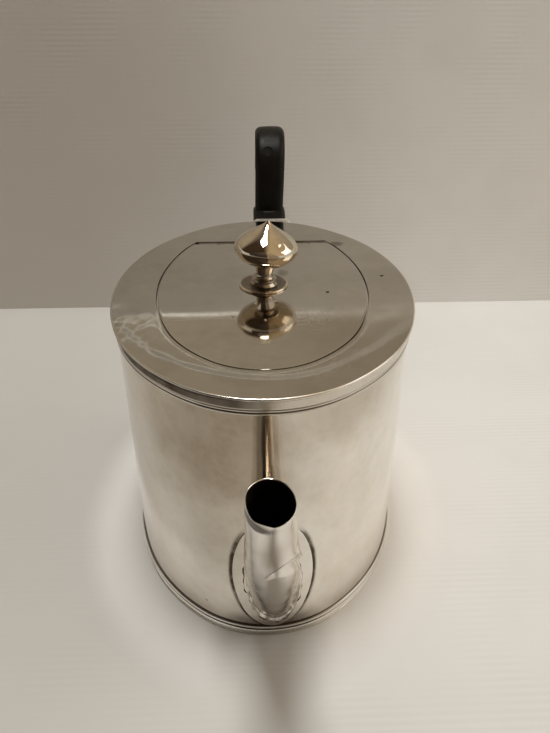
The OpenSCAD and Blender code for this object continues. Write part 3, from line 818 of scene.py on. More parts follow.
# %% Turn the disc under the knob
DISC_THICK = 0.8
disc_r = (disc_high.y - disc_low.y) / 2
disc_line = [(0.02 * MM, 0), (disc_r - 0.3 * MM, 0)] + [
    (disc_r - 0.3 * MM + x, z) for x, z in arc((0, 0.4 * MM), 0.3 * MM, -75, 75, 8)] + [
    (disc_r - 0.45 * MM, DISC_THICK * MM), (disc_r - 2 * MM, 0.87 * DISC_THICK * MM),
    (0.02 * MM, 0.87 * DISC_THICK * MM)]
disc = loft("knob_disc", [ring + np.array([*KNOB, TOP]) for ring in on_lathe(disc_line)],
            cap_first=(*KNOB, TOP), cap_last=(*KNOB, TOP + 0.87 * DISC_THICK * MM), sharp=50)
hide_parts("knob_flange")
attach(disc, "lid")
report(disc)

# %% [markdown]
# ## The handle
# The grip was sawn from a board of ebony and rounded with files. Its middle line lies in one
# plane: up from the knuckle, over the top in two arcs, down the back and round to the lower socket.
# Each point of it keeps the direction in which the section's outer face looks there.

# %% The grip's middle line
SIDE_STEP = 5.4 * MM
SOCKET_X, riser_x, leg_x = -70, -94.5, -129.5
front_c, back_c, low_c = (-108, 111), (-108, 103), (-85.5, 66)
FRONT_R, BACK_R, LOW_R_MM = 13.5, 21.5, 44
UPPER_TILT = math.radians(14)
UPPER_Z = 82.2
KNUCKLE_Z = UPPER_Z + (SOCKET_X - riser_x) * math.tan(UPPER_TILT)
path = [(riser_x, z, 180) for z in np.linspace(KNUCKLE_Z, 110, 14)]
path += [(front_c[0] + FRONT_R * math.cos(t), front_c[1] + FRONT_R * math.sin(t),
          180 + math.degrees(t)) for t in np.radians(np.linspace(0, 90, 26))]
path += [(back_c[0] + BACK_R * math.cos(t), back_c[1] + BACK_R * math.sin(t),
          180 + math.degrees(t)) for t in np.radians(np.linspace(94, 180, 34))]
path += [(leg_x, z, 360) for z in np.linspace(101, 68, 18)]
path += [(low_c[0] + LOW_R_MM * math.cos(t), low_c[1] + LOW_R_MM * math.sin(t),
          180 + math.degrees(t)) for t in np.radians(np.linspace(180, 270, 44))]
path += [(x, low_c[1] - LOW_R_MM, 450) for x in np.linspace(-85, -72.2, 8)]
print("points along the grip:", len(path))

# %% [markdown]
# A section is carried along the middle line and changes on the way: slimmer where the fingers go,
# fuller over the top, and flat on its faces where it enters the lower socket.

# %% Carry the section along the line
GRIP_WIDE, GRIP_DEEP = 13.6, 9.0
SLIM, ASIDE = 13.2, 0.8


def rounded(width, depth, r, dome, steps=9):
    """Section of the grip: a rounded rectangle, domed across its inner and outer faces."""
    line = []
    for cx, cy, start, flats in ((1, 1, 0, 10), (-1, 1, 90, 6), (-1, -1, 180, 10),
                                 (1, -1, 270, 6)):
        for turn in np.radians(np.linspace(start, start + 90, steps)):
            line.append([cx * (width / 2 - r) + r * math.cos(turn),
                         cy * (depth / 2 - r) + r * math.sin(turn)])
        corner = np.array(line[-1])
        run = np.array([-(width - 2 * r) * math.cos(math.radians(start)),
                        -(depth - 2 * r) * math.sin(math.radians(start))])
        for n in range(1, flats):
            line.append(corner + run * n / flats)
    line = np.array(line)
    line[:, 1] *= 1 - dome * (line[:, 0] / (width / 2)) ** 2
    return line


def reached(k, left, over):
    """0 until this many points are left of the path, then rising to 1 over so many points."""
    return min(1, max(0, k - len(path) + left) / over)


rings = []
for k, (x, z, facing) in enumerate(path):
    wide = SLIM + 0.6 * math.sin(math.pi * min(1, 2.2 * k / (len(path) - 1))) ** 2
    wide = wide + (GRIP_WIDE - 0.05 - wide) * reached(k, 60, 30)
    line = rounded(wide, GRIP_DEEP - 0.04, 2.6, 0.1 * (1 - reached(k, 40, 25)))
    way = math.radians(facing)
    normal = np.array([math.cos(way), 0, math.sin(way)])
    ring = np.array([x, 0, z]) + line[:, :1] * np.array([0, 1, 0]) + line[:, 1:] * normal
    aside = ASIDE * min(1, max(0, (125 - z) / 30)) * (k < len(path) / 2)
    rings.append(ring * MM + np.array([0, SIDE_STEP - aside * MM, 0]))
grip = loft("grip", rings, cap_first=np.mean(rings[0], axis=0),
            cap_last=np.mean(rings[-1], axis=0), sharp=50)
report(grip)

# %% [markdown]
# The upper end is a thick knuckle with a tenon that fills its socket. It runs at a slant to the
# grip, so it is made on its own and joined to it by a boolean, as one piece of wood.

# %% Knuckle and tenon
TENON = (14.4, 13.4)
KNUCKLE = (15.2, 14.2)
run = (SOCKET_X - riser_x) / math.cos(UPPER_TILT)
along = np.array([-math.cos(UPPER_TILT), 0, math.sin(UPPER_TILT)])
up = np.array([math.sin(UPPER_TILT), 0, math.cos(UPPER_TILT)])
start = np.array([SOCKET_X, SIDE_STEP / MM, UPPER_Z])
rings = []
stations = [(2.3, TENON, 1.2), (13.9, TENON, 1.2), (14.05, TENON, 1.2), (14.05, KNUCKLE, 2.0),
            (14.4, KNUCKLE, 2.2)] + [(at, KNUCKLE, 2.2) for at in np.linspace(15.5, run, 8)]
for turn in np.radians(np.linspace(8, 84, 14)):
    size = KNUCKLE[0] - 1.2 * math.sin(turn) ** 4, KNUCKLE[1] * math.cos(turn)
    stations.append((run + KNUCKLE[1] / 2 * math.sin(turn), size, 2.2 * math.cos(turn) + 0.05))
for at, (width, depth), r in stations:
    line = rounded(width - 0.06, depth - 0.06, min(r, depth / 2 - 0.1), 0.0, 7)
    ring = start + at * along + line[:, :1] * np.array([0, 1, 0]) + line[:, 1:] * up
    ring[:, 1] -= ASIDE * (at > 14)
    rings.append(ring * MM)
knuckle = loft("knuckle", rings, cap_first=np.mean(rings[0], axis=0),
               cap_last=np.mean(rings[-1], axis=0), sharp=50)


def as_bmesh(obj):
    """The object's mesh as a bmesh; the object itself is removed."""
    shape = bmesh.new()
    shape.from_mesh(obj.data)
    bpy.data.objects.remove(obj)
    return shape


cut_away(grip, as_bmesh(knuckle), "UNION")
report(grip)

# %% [markdown]
# A small round plug is let in to the front of the bend, over the end of a pin perhaps. Its hole is
# cut a little wide and flared, so that a fine dark ring shows round the plug.

# %% The plug's hole
PLUG_D = 4.2 * MM
PLUG_TURN, PLUG_SIDE = math.radians(35), 1.2 * MM
plug_way = Vector((math.cos(PLUG_TURN), 0, math.sin(PLUG_TURN)))
plug_at = Vector((front_c[0] * MM, SIDE_STEP - PLUG_SIDE, front_c[1] * MM)) + 18 * MM * plug_way
plug_hole = bmesh.new()
bar(plug_hole, Matrix.Translation(plug_at) @ plug_way.to_track_quat("Z", "Y").to_matrix().to_4x4(),
    PLUG_D + 0.04 * MM, 6 * MM, sides=48, wider=0.28 * MM)
cut_away(grip, plug_hole)
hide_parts("handle")
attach(grip, "pot")
report(grip)

# %% [markdown]
# ## Finishes
# A finish is a small graph of shader nodes. Two short classes keep the graph readable: one adds
# nodes, the other stands for a value that flows between them, so that sums can be written as
# ordinary arithmetic.

# %% A small language for shaders
class Flow:
    """A value in a shader. Arithmetic on it adds the nodes that do the same sum."""
    def __init__(self, graph, socket):
        self.graph, self.socket = graph, socket

    def math(self, operation, *values):
        return self.graph.node("Math", {"operation": operation}, dict(enumerate(values)))

    def __add__(self, other): return self.math("ADD", self, other)
    def __radd__(self, other): return self.math("ADD", other, self)
    def __sub__(self, other): return self.math("SUBTRACT", self, other)
    def __rsub__(self, other): return self.math("SUBTRACT", other, self)
    def __mul__(self, other): return self.math("MULTIPLY", self, other)
    def __rmul__(self, other): return self.math("MULTIPLY", other, self)
    def __truediv__(self, other): return self.math("DIVIDE", self, other)
    def __pow__(self, other): return self.math("POWER", self, other)
    def __abs__(self): return self.math("ABSOLUTE", self)
    def most(self, other): return self.math("MAXIMUM", self, other)

    def between(self, low, high, start=0.0, end=1.0):
        """Goes smoothly from start to end as this value goes from low to high."""
        return self.graph.node("MapRange", {"interpolation_type": "SMOOTHSTEP"},
                               {"Value": self, "From Min": low, "From Max": high,
                                "To Min": start, "To Max": end})

    def blend(self, first, second):
        """The first colour where this value is 0 and the second where it is 1."""
        return self.graph.node("Mix", {"data_type": "RGBA"}, {0: self, 6: first, 7: second}, 2)


print("what a value can do:", [n.strip("_") for n in vars(Flow) if callable(vars(Flow)[n])])

# %% [markdown]
# The second class is the graph that these values flow in. It adds any node in one line, and it
# knows the place of each point and the clouds and bumps that every finish here uses. Blender's
# noise needs no drawing or unwrapping of the mesh, as it fills space like the grain of a block.

# %% A graph of nodes
class Graph:
    """The nodes of a shader, which start from the place of each point."""
    def __init__(self, tree, place):
        self.tree = tree
        self.tree.nodes.clear()
        self.place = self.node("TexCoord", output=place)
        split = self.node("SeparateXYZ", inputs={0: self.place}).socket.node
        self.x, self.y, self.z = (Flow(self, split.outputs[k]) for k in range(3))

    def node(self, kind, settings=None, inputs=None, output=0):
        made = self.tree.nodes.new("ShaderNode" + kind)
        for name, value in (settings or {}).items():
            setattr(made, name, value)
        for name, value in (inputs or {}).items():
            if isinstance(value, Flow):
                self.tree.links.new(value.socket, made.inputs[name])
            else:
                made.inputs[name].default_value = value
        return Flow(self, made.outputs[output])

    def noise(self, size=10.0, detail=3.0, rough=0.55, warp=0.0, place=None, seed=0.0):
        """Cloudy noise, about 0 to 1, whose blobs are about size millimetres across."""
        scale = 1000 / size if place is None else 1.0
        return self.node("TexNoise", {"noise_dimensions": "4D"},
                         {"Vector": place or self.place, "W": seed, "Scale": scale,
                          "Detail": detail, "Roughness": rough, "Distortion": warp})

    def bump(self, height, distance, normal=None):
        """A normal bent by a height, where a height of 1 stands so many millimetres proud."""
        inputs = {"Height": height, "Distance": distance * MM, "Strength": 1.0}
        if normal is not None:
            inputs["Normal"] = normal
        return self.node("Bump", inputs=inputs)


print("what a graph can add:", [n for n in vars(Graph) if n[0] != "_"])

# %% [markdown]
# A finish is such a graph inside a material, with its places in millimetres from the pot's own
# middle. It adds the patterns of wear: egg-shaped spots for stains and pits, and straight
# lines for scratches. They could be painted by hand, but written as places they can be moved.

# %% A finish under construction
class Finish(Graph):
    """A material under construction."""
    def __init__(self, name):
        self.material = bpy.data.materials.new(name)
        self.material.use_nodes = True
        super().__init__(self.material.node_tree, "Object")
        self.x, self.y, self.z = (axis * 1000 for axis in (self.x, self.y, self.z))

    def stretched(self, along, across, up):
        """Object space in millimetres, divided by these lengths."""
        scale = (1000 / along, 1000 / across, 1000 / up)
        return self.node("VectorMath", {"operation": "MULTIPLY"}, {0: self.place, 1: scale})

    def spot(self, centre, size, soft=0.5, wobble=0.0):
        """1 inside an egg shape round a centre and 0 outside, in millimetres."""
        middle = self.node("VectorMath", {"operation": "SUBTRACT"},
                           {0: self.place, 1: tuple(c / 1000 for c in centre)})
        scaled = self.node("VectorMath", {"operation": "MULTIPLY"},
                           {0: middle, 1: tuple(1000 / s for s in size)})
        far = self.node("VectorMath", {"operation": "LENGTH"}, {0: scaled}, "Value")
        if wobble:
            far = far + wobble * (self.noise(max(size) * 0.5, seed=centre[0]) - 0.5)
        return far.between(1 - soft, 1 + soft, 1, 0)

    def line(self, start, end, width, soft=0.3):
        """1 along a straight scratch between two points and 0 elsewhere."""
        a, b = np.array(start, float), np.array(end, float)
        way = (b - a) / np.linalg.norm(b - a)
        middle = (a + b) / 2
        off = [axis - float(m) for axis, m in zip((self.x, self.y, self.z), middle)]
        down = sum((o * float(w) for o, w in zip(off, way)), 0.0)
        square = sum((o * o for o in off), 0.0) - down * down
        across = (square.most(0) ** 0.5).between(width * soft, width, 1, 0)
        half = float(np.linalg.norm(b - a) / 2)
        return across * abs(down).between(half * 0.6, half, 1, 0)

    def eggs(self, table):
        """Spots added up, from rows of a centre, size, softness, wobble and strength."""
        return sum((self.spot(*egg) * strength for *egg, strength in table), 0.0)

    def surface(self, one_sided=False, **values):
        """Ends the graph in one Principled surface, clear from behind if it is one-sided."""
        inputs = {name.replace("_", " "): value for name, value in values.items()}
        shader = self.node("BsdfPrincipled", inputs=inputs)
        if one_sided:
            behind = self.node("NewGeometry", output="Backfacing")
            clear = self.node("BsdfTransparent")
            shader = self.node("MixShader", inputs={0: behind, 1: shader, 2: clear})
        out = self.tree.nodes.new("ShaderNodeOutputMaterial")
        self.tree.links.new(shader.socket, out.inputs["Surface"])
        return self.material


print("patterns of a finish:", [n for n in vars(Finish) if n[0] != "_"])

# %% [markdown]
# ## Silver
# Old silver is a mirror under a veil. The veil has three parts: a haze of fine wear that blurs
# reflections in places, hair scratches that cross it, and a warm film that gathers where polish
# doesn't reach. The same recipe, with more or less of each, finishes every silver piece.

# %% The silver recipe
BRIGHT = (0.90, 0.868, 0.815, 1)
WARM = (0.80, 0.735, 0.635, 1)
# Brown of film, also used for painted reflections of the dark; the near black after it is dirt and
# painted shade.
FILM_AND_PAINTED_REFLECTION = (0.41, 0.345, 0.265, 1)
DIRT_AND_PAINTED_SHADE = (0.07, 0.05, 0.033, 1)
DULL = ((0.71, 0.68, 0.625, 1), (0.58, 0.55, 0.49, 1))
BRASS = ((0.85, 0.77, 0.65, 1), (0.66, 0.55, 0.41, 1))


def hair(finish, along, across, up, seed, width=0.012):
    """Fine scratches: thin lines where a stretched noise crosses its middle value."""
    field = finish.noise(place=finish.stretched(along, across, up), detail=2.0, seed=seed)
    return abs(field - 0.5).between(width * 0.3, width, 1, 0)


def silver(name, rough=0.1, haze=0.08, warm=0.35, scratch=0.4, film=None, dark=None,
           wave=0.0, brush=0.0, extra=None, worn=None, dulling=0.12):
    """A silver finish. film and dark are masks made by functions of the finish, and worn is the
    colour where the silver has been rubbed thin. film mixes in a brown film, on some pieces also a
    painted reflection of the dark; dark mixes in dirt, on some pieces also painted shade."""
    f = Finish(name)
    cloud = f.noise(26, 4, 0.6, seed=1.0)
    fine = f.noise(5, 5, 0.65, seed=2.0)
    patches = f.noise(60, 2, 0.5, seed=3.0)
    tone = (cloud * 0.6 + fine * 0.4).between(0.36, 0.68)
    colour = (tone * warm).blend(BRIGHT, WARM) if worn is None else tone.blend(*worn)
    lines = hair(f, 30, 5, 7, 4.0).most(hair(f, 6, 34, 5, 5.0)).most(hair(f, 11, 6, 30, 6.0))
    lines = lines * patches.between(0.42, 0.6)
    blur = rough + haze * tone + 0.10 * scratch * lines
    if brush:
        grain = f.noise(place=f.stretched(9, 9, 0.35), detail=4.0, rough=0.7, seed=7.0)
        blur = blur + brush * (grain - 0.5)
    if film is not None:
        amount = film(f)
        colour = amount.blend(colour, FILM_AND_PAINTED_REFLECTION)
        blur = blur + dulling * amount
    if dark is not None:
        depth = dark(f)
        colour = depth.blend(colour, DIRT_AND_PAINTED_SHADE)
        blur = blur + 0.25 * depth
    height = lines * (-0.4 * scratch) + fine * 0.25
    if extra is not None:
        height = height + extra(f)
    normal = f.bump(height, 0.012)
    if wave:
        normal = f.bump(f.noise(11, 1, 0.4, seed=8.0), wave, normal=normal)
    return f.surface(Base_Color=colour, Metallic=1.0, Roughness=blur.most(0.03), Normal=normal)


tarnish = silver("silver_tarnish", 0.35, 0.1, 1.0, 0.2,
                 dark=lambda f: f.noise(3, 3).between(0.2, 0.6, 0.85, 1.0))
print("nodes in the plainest silver:", len(tarnish.node_tree.nodes))

# %% [markdown]
# A mesh holds a short list of finishes, and each of its faces a number that points into it. The
# pieces above have numbered their faces already: 0 outside, 1 where no cloth reaches and 2 on the
# rim's edge. Filling the list can reset them, so they are read first and given back.

# %% Put finishes on a piece
def paint(obj, *materials):
    """Gives obj its finishes, and keeps which face has which."""
    which = [face.material_index for face in obj.data.polygons]
    obj.data.materials.clear()
    for material in materials:
        obj.data.materials.append(material)
    for face, index in zip(obj.data.polygons, which):
        face.material_index = min(index, len(materials) - 1)


for made in (wall, top, lid, spout, flange):
    numbers = {face.material_index for face in made.data.polygons}
    print(f"the faces of {made.name} have the numbers {sorted(numbers)}")

# %% [markdown]
# The wall is the largest mirror and the most worn. Veils of film hang on its front; the largest, at
# the upper left, is also a painted reflection of the dark in front of the pot, and a band of that
# painted reflection lies under the shoulder. A darker band lies over the foot. Film is a mask that
# mixes a brown into the silver and blurs it, so it is built from large soft spots that are broken
# up by noise.

# %% Film and painted reflection on the wall
def wall_film_and_painted_reflection(f):
    """Film in veils on the front, the largest also a painted reflection of the dark in front, the
    same painted reflection in a band under the shoulder, and a darker band over the foot.
    """
    cloud = 0.45 + 0.9 * f.noise(24, 4, 0.55, seed=28.0)
    # The largest veil, at the upper left of the front, is also a painted reflection of the dark in
    # front of the pot.
    veil_and_painted_reflection = f.spot((66, -15, 80), (30, 23, 27), 0.75, 0.8) * cloud
    veil_and_painted_reflection = veil_and_painted_reflection.most(f.spot((63, 24, 88), (22, 24, 12), 0.7, 0.7) * 0.5)
    veil_and_painted_reflection = veil_and_painted_reflection.most(f.spot((67, -15, 44), (16, 12, 28), 0.8, 0.9) * 0.5)
    veil_and_painted_reflection = veil_and_painted_reflection.most(f.y.between(-26, -50) * f.noise(30, 4, 0.6, seed=24.0) * 0.8)
    mottle = f.noise(7, 5, 0.7, seed=25.0).between(0.4, 0.7) * 0.14
    # The first band, under the shoulder, is a painted reflection of the dark in front; the second
    # darkens the wall over the foot.
    edges = (f.z.between(85, 91) + f.z.between(13, 4.5)) * (0.15 + 0.6 * f.noise(9, 4, seed=20.0))
    return veil_and_painted_reflection.most(edges) + mottle


print("film is ready for the wall and the sheet at the spout")

# %% [markdown]
# Single marks are placed one by one: scratches as short lines, a ding and pits as small spots. Each
# is used twice, sunk in the bump and dark in the colour, since a groove also holds dirt. Dirt
# lines the sheet at the spout's root too, thick and thin, and shade is painted under the root.

# %% Marks on the wall, and its finish
# Each scratch: its ends, how wide it is sunk, how wide it is dark and how dark
SCRATCHES = [((65.4, -21, 80.7), (67.1, -17, 80.8), 0.3, 0.3, 0.35),
             ((69.4, 8, 71), (66.6, 18.4, 61.6), 0.14, 0.22, 0.35),
             ((69.2, 9, 68), (65.6, 20, 63), 0.12, 0, 0),
             ((68.8, 10, 75), (66.2, 19, 70), 0.12, 0.2, 0.3),
             ((67.1, -17.2, 33.2), (66.4, -18.6, 30.2), 0, 0.35, 0.4)]
PITS_SUNK = [((58.9, 30.4, 72), (0.8, 0.6, 1.0), 0.5, 0, 2),
             ((67.1, -17.2, 31.3), (2.4, 1.5, 1.6), 0.2, 0, 0.6),
             ((67.1, -17.0, 31.6), (2.0, 1.2, 1.3), 0.2, 0, -0.6),
             ((65.4, -21, 10.2), (1.5, 0.8, 0.7), 0.5, 0, 1)]
PITS_DARK = [((58.9, 30.4, 72), (1.2, 0.7, 0.9), 0.4, 0, 0.7),
             ((65.4, -21, 10.2), (2, 0.7, 0.6), 0.4, 0, 0.8)]


def wall_sunk(f):
    """Scratches and pits as heights."""
    lines = sum((f.line(a, b, wide) for a, b, wide, _, _ in SCRATCHES if wide), 0.0)
    return (lines + f.eggs(PITS_SUNK)) * -1.5


def root_line_and_painted_shade(f):
    """Dirt round the sheet at the spout's root, thick and thin, and gone towards the top, with
    painted shade under the root.
    """
    middle = (70, ROOT_SIDE / MM, (root_mid + FLANGE_UP) / MM)
    size = (60, flange_half[1] / MM, flange_half[0] / MM)
    outer = f.spot(middle, tuple(s * 1.085 for s in size), 0.04, 0.07)
    inner = f.spot(middle, tuple(s * 0.99 for s in size), 0.02)
    line = (outer - inner) * f.x.between(20, 40) * f.z.between(50, 42)
    # Painted shade under the spout's root, just above the foot.
    under = f.spot((74, ROOT_SIDE / MM, 5), (16, 13, 5.5), 0.5, 0.5) * 0.75
    return (line * (0.25 + 1.4 * f.noise(5, 2, seed=21.0))).most(under)


def wall_dirt_and_painted_shade(f):
    """The same scratches and pits, with the root's line, as dirt, and the painted shade under the
    root.
    """
    lines = sum((f.line(a, b, wide) * dark for a, b, _, wide, dark in SCRATCHES if wide), 0.0)
    return root_line_and_painted_shade(f) + lines + f.eggs(PITS_DARK)


paint(wall, silver("silver_wall", 0.05, 0.05, 0.7, 0.9, brush=0.02, wave=0.01, film=wall_film_and_painted_reflection,
                   dulling=0.04, dark=wall_dirt_and_painted_shade, extra=wall_sunk))
print("marks on the wall:", len(SCRATCHES) + len(PITS_DARK))

# %% [markdown]
# The flat top is handled and wiped the most, so it is duller and greyer than the wall. Dirt stays
# in the corners of the hinge, round the knob and in two pits. Shade is painted under the edge of
# the rim and in the open seam at the left of the front.

# %% Top and lid
TOP_DARK = [((-8.3, 43.8, 96), (0.7, 0.7, 2), 0.3, 0, 1),
            ((-42, 30.5, 96), (2.4, 3.0, 2), 0.5, 0.8, 0.6)]
LID_DARK = [((22.3, -9.9, 96), (0.35, 0.35, 2), 0.3, 0, 1),
            ((-43.6, 19.7, 96), (1.0, 0.7, 2), 0.4, 0, 1),
            ((-43.6, -17.3, 96), (1.0, 0.7, 2), 0.4, 0, 1),
            ((-12.9, 7.8, 96), (2.6, 1.8, 2), 0.4, 1.5, 0.35)]


def right_film(f):
    """A thin film that grows to one side of the flat top."""
    return f.y.between(-50, 55) * 0.4 * (0.6 + f.noise(20, 3, seed=22.0))


def rim_painted_shade(f):
    """Painted shade in the open seam at the left of the front and under the rim's edge."""
    gap = f.z.between(96.6, 96.25) * f.y.between(6, -14) * f.x.between(0, 25)
    return (gap * f.noise(8, 3, seed=27.0).between(0.2, 0.5)).most(f.z.between(95.85, 95.6) * 0.5)


edge_finish = silver("silver_edge", 0.22, 0.1, 0.9, 0.3, dark=rim_painted_shade,
                     film=lambda f: f.noise(5, 3, seed=23.0) * 0.5)
paint(top, silver("silver_top", 0.05, 0.04, 0.6, 0.5, wave=0.006, film=right_film, worn=DULL,
                  dark=lambda f: f.eggs(TOP_DARK)), tarnish, edge_finish)
paint(lid, silver("silver_lid", 0.03, 0.03, 0.6, 0.5, wave=0.003, film=right_film, worn=DULL,
                  dark=lambda f: f.eggs(LID_DARK)), tarnish)
print("finishes of the top:", [m.name for m in top.data.materials])

# %% [markdown]
# The two mouldings are rubbed bright on their reeds and black in their grooves. A groove is a band
# of heights, so its dirt is the product of two soft steps in z. Shade is painted along the line
# where each meets the wall, on the foot under the spout and on the shoulder in the open seam. The
# shoulder is browner in front.

# %% Foot and shoulder
def foot_grooves_and_painted_shade(f):
    """The groove under the reed, with painted shade along the line at the wall and under the spout.
    """
    # The last term is painted shade where the foot meets the wall; the spot below is painted shade
    # under the spout.
    groove = f.z.between(3.5, 3.1) * f.z.between(2.5, 2.8) + f.z.between(3.8, 4.5)
    return (groove + f.spot((74, 1, 3), (14, 15, 4), 0.5, 0.4) * 0.5) * 0.85


def shoulder_grooves_and_painted_shade(f):
    """The grooves beside the two reeds, with painted shade along the line at the wall and in the
    open seam.
    """
    groove = f.z.between(92.3, 91.9) * f.z.between(91.5, 91.8)
    groove = groove + f.z.between(93.0, 92.82) * f.z.between(92.6, 92.75)
    # Painted shade in the open seam at the left of the front.
    gap = f.z.between(92.9, 93.5) * f.y.between(8, -12) * f.x.between(5, 30)
    gap = gap * (0.5 + f.noise(9, 2, seed=26.0))
    # The step at 90.8 mm is painted shade along the line at the wall.
    return (groove + f.z.between(90.95, 90.8) + gap) * 0.85


def shoulder_film(f):
    """Clouds of film on the front half."""
    return (0.2 + 0.5 * f.noise(14, 3, seed=29.0)) * f.x.between(20, 50)


paint(foot, silver("silver_foot", 0.12, 0.10, 0.6, 0.5, dark=foot_grooves_and_painted_shade))
paint(shoulder, silver("silver_shoulder", 0.12, 0.10, 0.6, 0.5, film=shoulder_film,
                       dark=shoulder_grooves_and_painted_shade))
print("mouldings done:", foot.name, shoulder.name)

# %% [markdown]
# The spout is brushed along by years of wiping. A dark line of painted shade marks the fold, it is
# darker under the bent lip, and shade is painted low at its root and on the lower part of its
# sheet.
# A brown band down its front is a painted reflection of the shadow under it. Its inside is black
# with tea, and so is the solder's edge.

# %% Spout and its sheet
def spout_marks_and_painted_shade(f):
    """Painted shade along the fold's crease and low at the root, and a dark patch under the bent
    lip.
    """
    def along(way):
        return sum(((axis - float(m)) * float(w) for axis, m, w in zip(
            (f.x, f.y, f.z), FOLD_AT, way)), 0.0)
    # The fold's crease is drawn as a thin line of painted shade.
    fold = abs(along(FOLD_UP) + 0.03).between(0.02, 0.07, 1, 0) * along(FOLD_RUN).between(
        -0.5, 1.5) * f.x.between(80, 84)
    lip = f.spot((108, -4.5, 88.8), (5.5, 5.5, 2.4), 0.35, 0.3) * 0.95
    # Low at the root the spout is darkened with painted shade.
    return fold.most(lip).most(f.z.between(14, 8) * 0.5)


# The spot of film down the spout's front is a painted reflection of the shadow under the spout.
paint(spout, silver("silver_spout", 0.10, 0.08, 0.15, 0.8, brush=0.03, wave=0.012,
                    film=lambda f: f.spot((101, 0.4, 71), (9, 2.8, 12), 0.6, 0.3) * 0.6,
                    dark=spout_marks_and_painted_shade), tarnish)
# The lower part of the sheet, near the foot, is darkened with painted shade.
paint(flange, silver("silver_flange", 0.10, 0.10, 0.7, 0.6, film=wall_film_and_painted_reflection,
                     dark=lambda f: f.z.between(12, 5) * 0.55), tarnish)
print("spout done:", spout.name, flange.name)

# %% [markdown]
# The knob is worn down to a warmer, brassier metal. The small and the hidden pieces keep the
# solids' own meshes: sockets and pins are a little duller than the wall, the inside is dull and
# warm, and the hinge is almost black.

# %% Knob and small pieces
# The neck under the bulb and the disc under the knob are darkened with painted shade.
paint(knob, silver("silver_knob", 0.03, 0.05, 0.9, 0.4, wave=0.015, worn=BRASS,
                   dark=lambda f: f.z.between(102.5, 100.5) * f.z.between(96.2, 97) * 0.5))
paint(disc, silver("silver_disc", 0.05, 0.08, 0.8, 0.3, worn=BRASS, dark=lambda f: f.spot(
    (-2.8, 0.4, 96.5), (8.1, 8.1, 9), 0.03) * 0.75))
inside = silver("silver_inside", 0.28, 0.12, 0.9, 0.3)
plain = silver("silver_small", 0.14, 0.10, 0.7, 0.5)
socket = silver("silver_socket", 0.3, 0.10, 0.5, 0.5)
hinge = silver("silver_hinge", 0.42, 0.10, 1.0, 0.4, film=lambda f: f.noise(2.5, 3, seed=16.0),
               dark=lambda f: 0.75 + 0.3 * f.noise(3, 3, seed=17.0))
INSIDE = ("base_plate", "lid_seat", "lid_rim", "knob_stud", "knob_nut")
for name, node in frame["nodes"].items():
    if node.hide_render or name == "handle_plug":
        continue
    paint(node, inside if name in INSIDE else hinge if "hinge" in name else
          socket if "socket" in name else plain)
print("silver finishes:", sum("silver" in m.name for m in bpy.data.materials))

# %% [markdown]
# ## Ebony
# Ebony is nearly black. What is seen is its polish: a satin sheen with the faint lengthwise
# streaks of the wood's pores, and small rubbed places that catch the light.

# %% The handle's wood
def ebony(name):
    """Nearly black wood with pores along the grip, rubbed places and fine scratches."""
    f = Finish(name)
    grain = f.noise(place=f.stretched(2.2, 0.7, 14), detail=4.0, rough=0.6, seed=10.0)
    pores = grain.between(0.60, 0.66)
    rub = f.noise(9, 4, 0.6, seed=11.0).between(0.5, 0.72)
    colour = grain.between(0.3, 0.7).blend((0.004, 0.0036, 0.0032, 1), (0.010, 0.008, 0.006, 1))
    colour = (rub * 0.3).blend(colour, (0.016, 0.014, 0.012, 1))
    lines = hair(f, 4, 9, 12, 12.0)
    normal = f.bump(pores * -0.5 + lines * -0.3 + rub * 0.4, 0.02)
    return f.surface(Base_Color=colour, Roughness=0.4 + 0.1 * rub + 0.1 * pores,
                     Specular_IOR_Level=0.13, Normal=normal)


wood = ebony("ebony")
paint(grip, wood)
paint(frame["nodes"]["handle_plug"], wood)
print("wood on:", grip.name, "and handle_plug")

# %% [markdown]
# ## Where it stands
# Polished silver has hardly a colour of its own: it shows the room. The table is a pale warm board,
# painted lighter towards the window's side, and painted paler close to the foot, as a pool of the
# light that the silver throws down. The screen behind it, also painted lighter towards the window,
# stops a little above the lid, and a strip along its top glows, so the lid mirrors it as a thin
# line. The screen is clear from behind, so that the pot can be seen from the back too.

# %% Table and screen
def sheet_of(name, corners, material):
    """A flat sheet on the stage."""
    mesh = bpy.data.meshes.new(name)
    mesh.from_pydata(corners, [], [tuple(range(len(corners)))])
    obj = bpy.data.objects.new(name, mesh)
    bpy.context.scene.collection.objects.link(obj)
    paint(obj, material)
    return obj


def upright(name, x_low, x_high, sides, heights, material):
    """A sheet that faces the pot or its maker, between two values of y and two heights."""
    (y_low, y_high), (low, high) = sides, heights
    return sheet_of(name, [(x_low, y_low, low), (x_low, y_high, low), (x_high, y_high, high),
                           (x_high, y_low, high)], material)


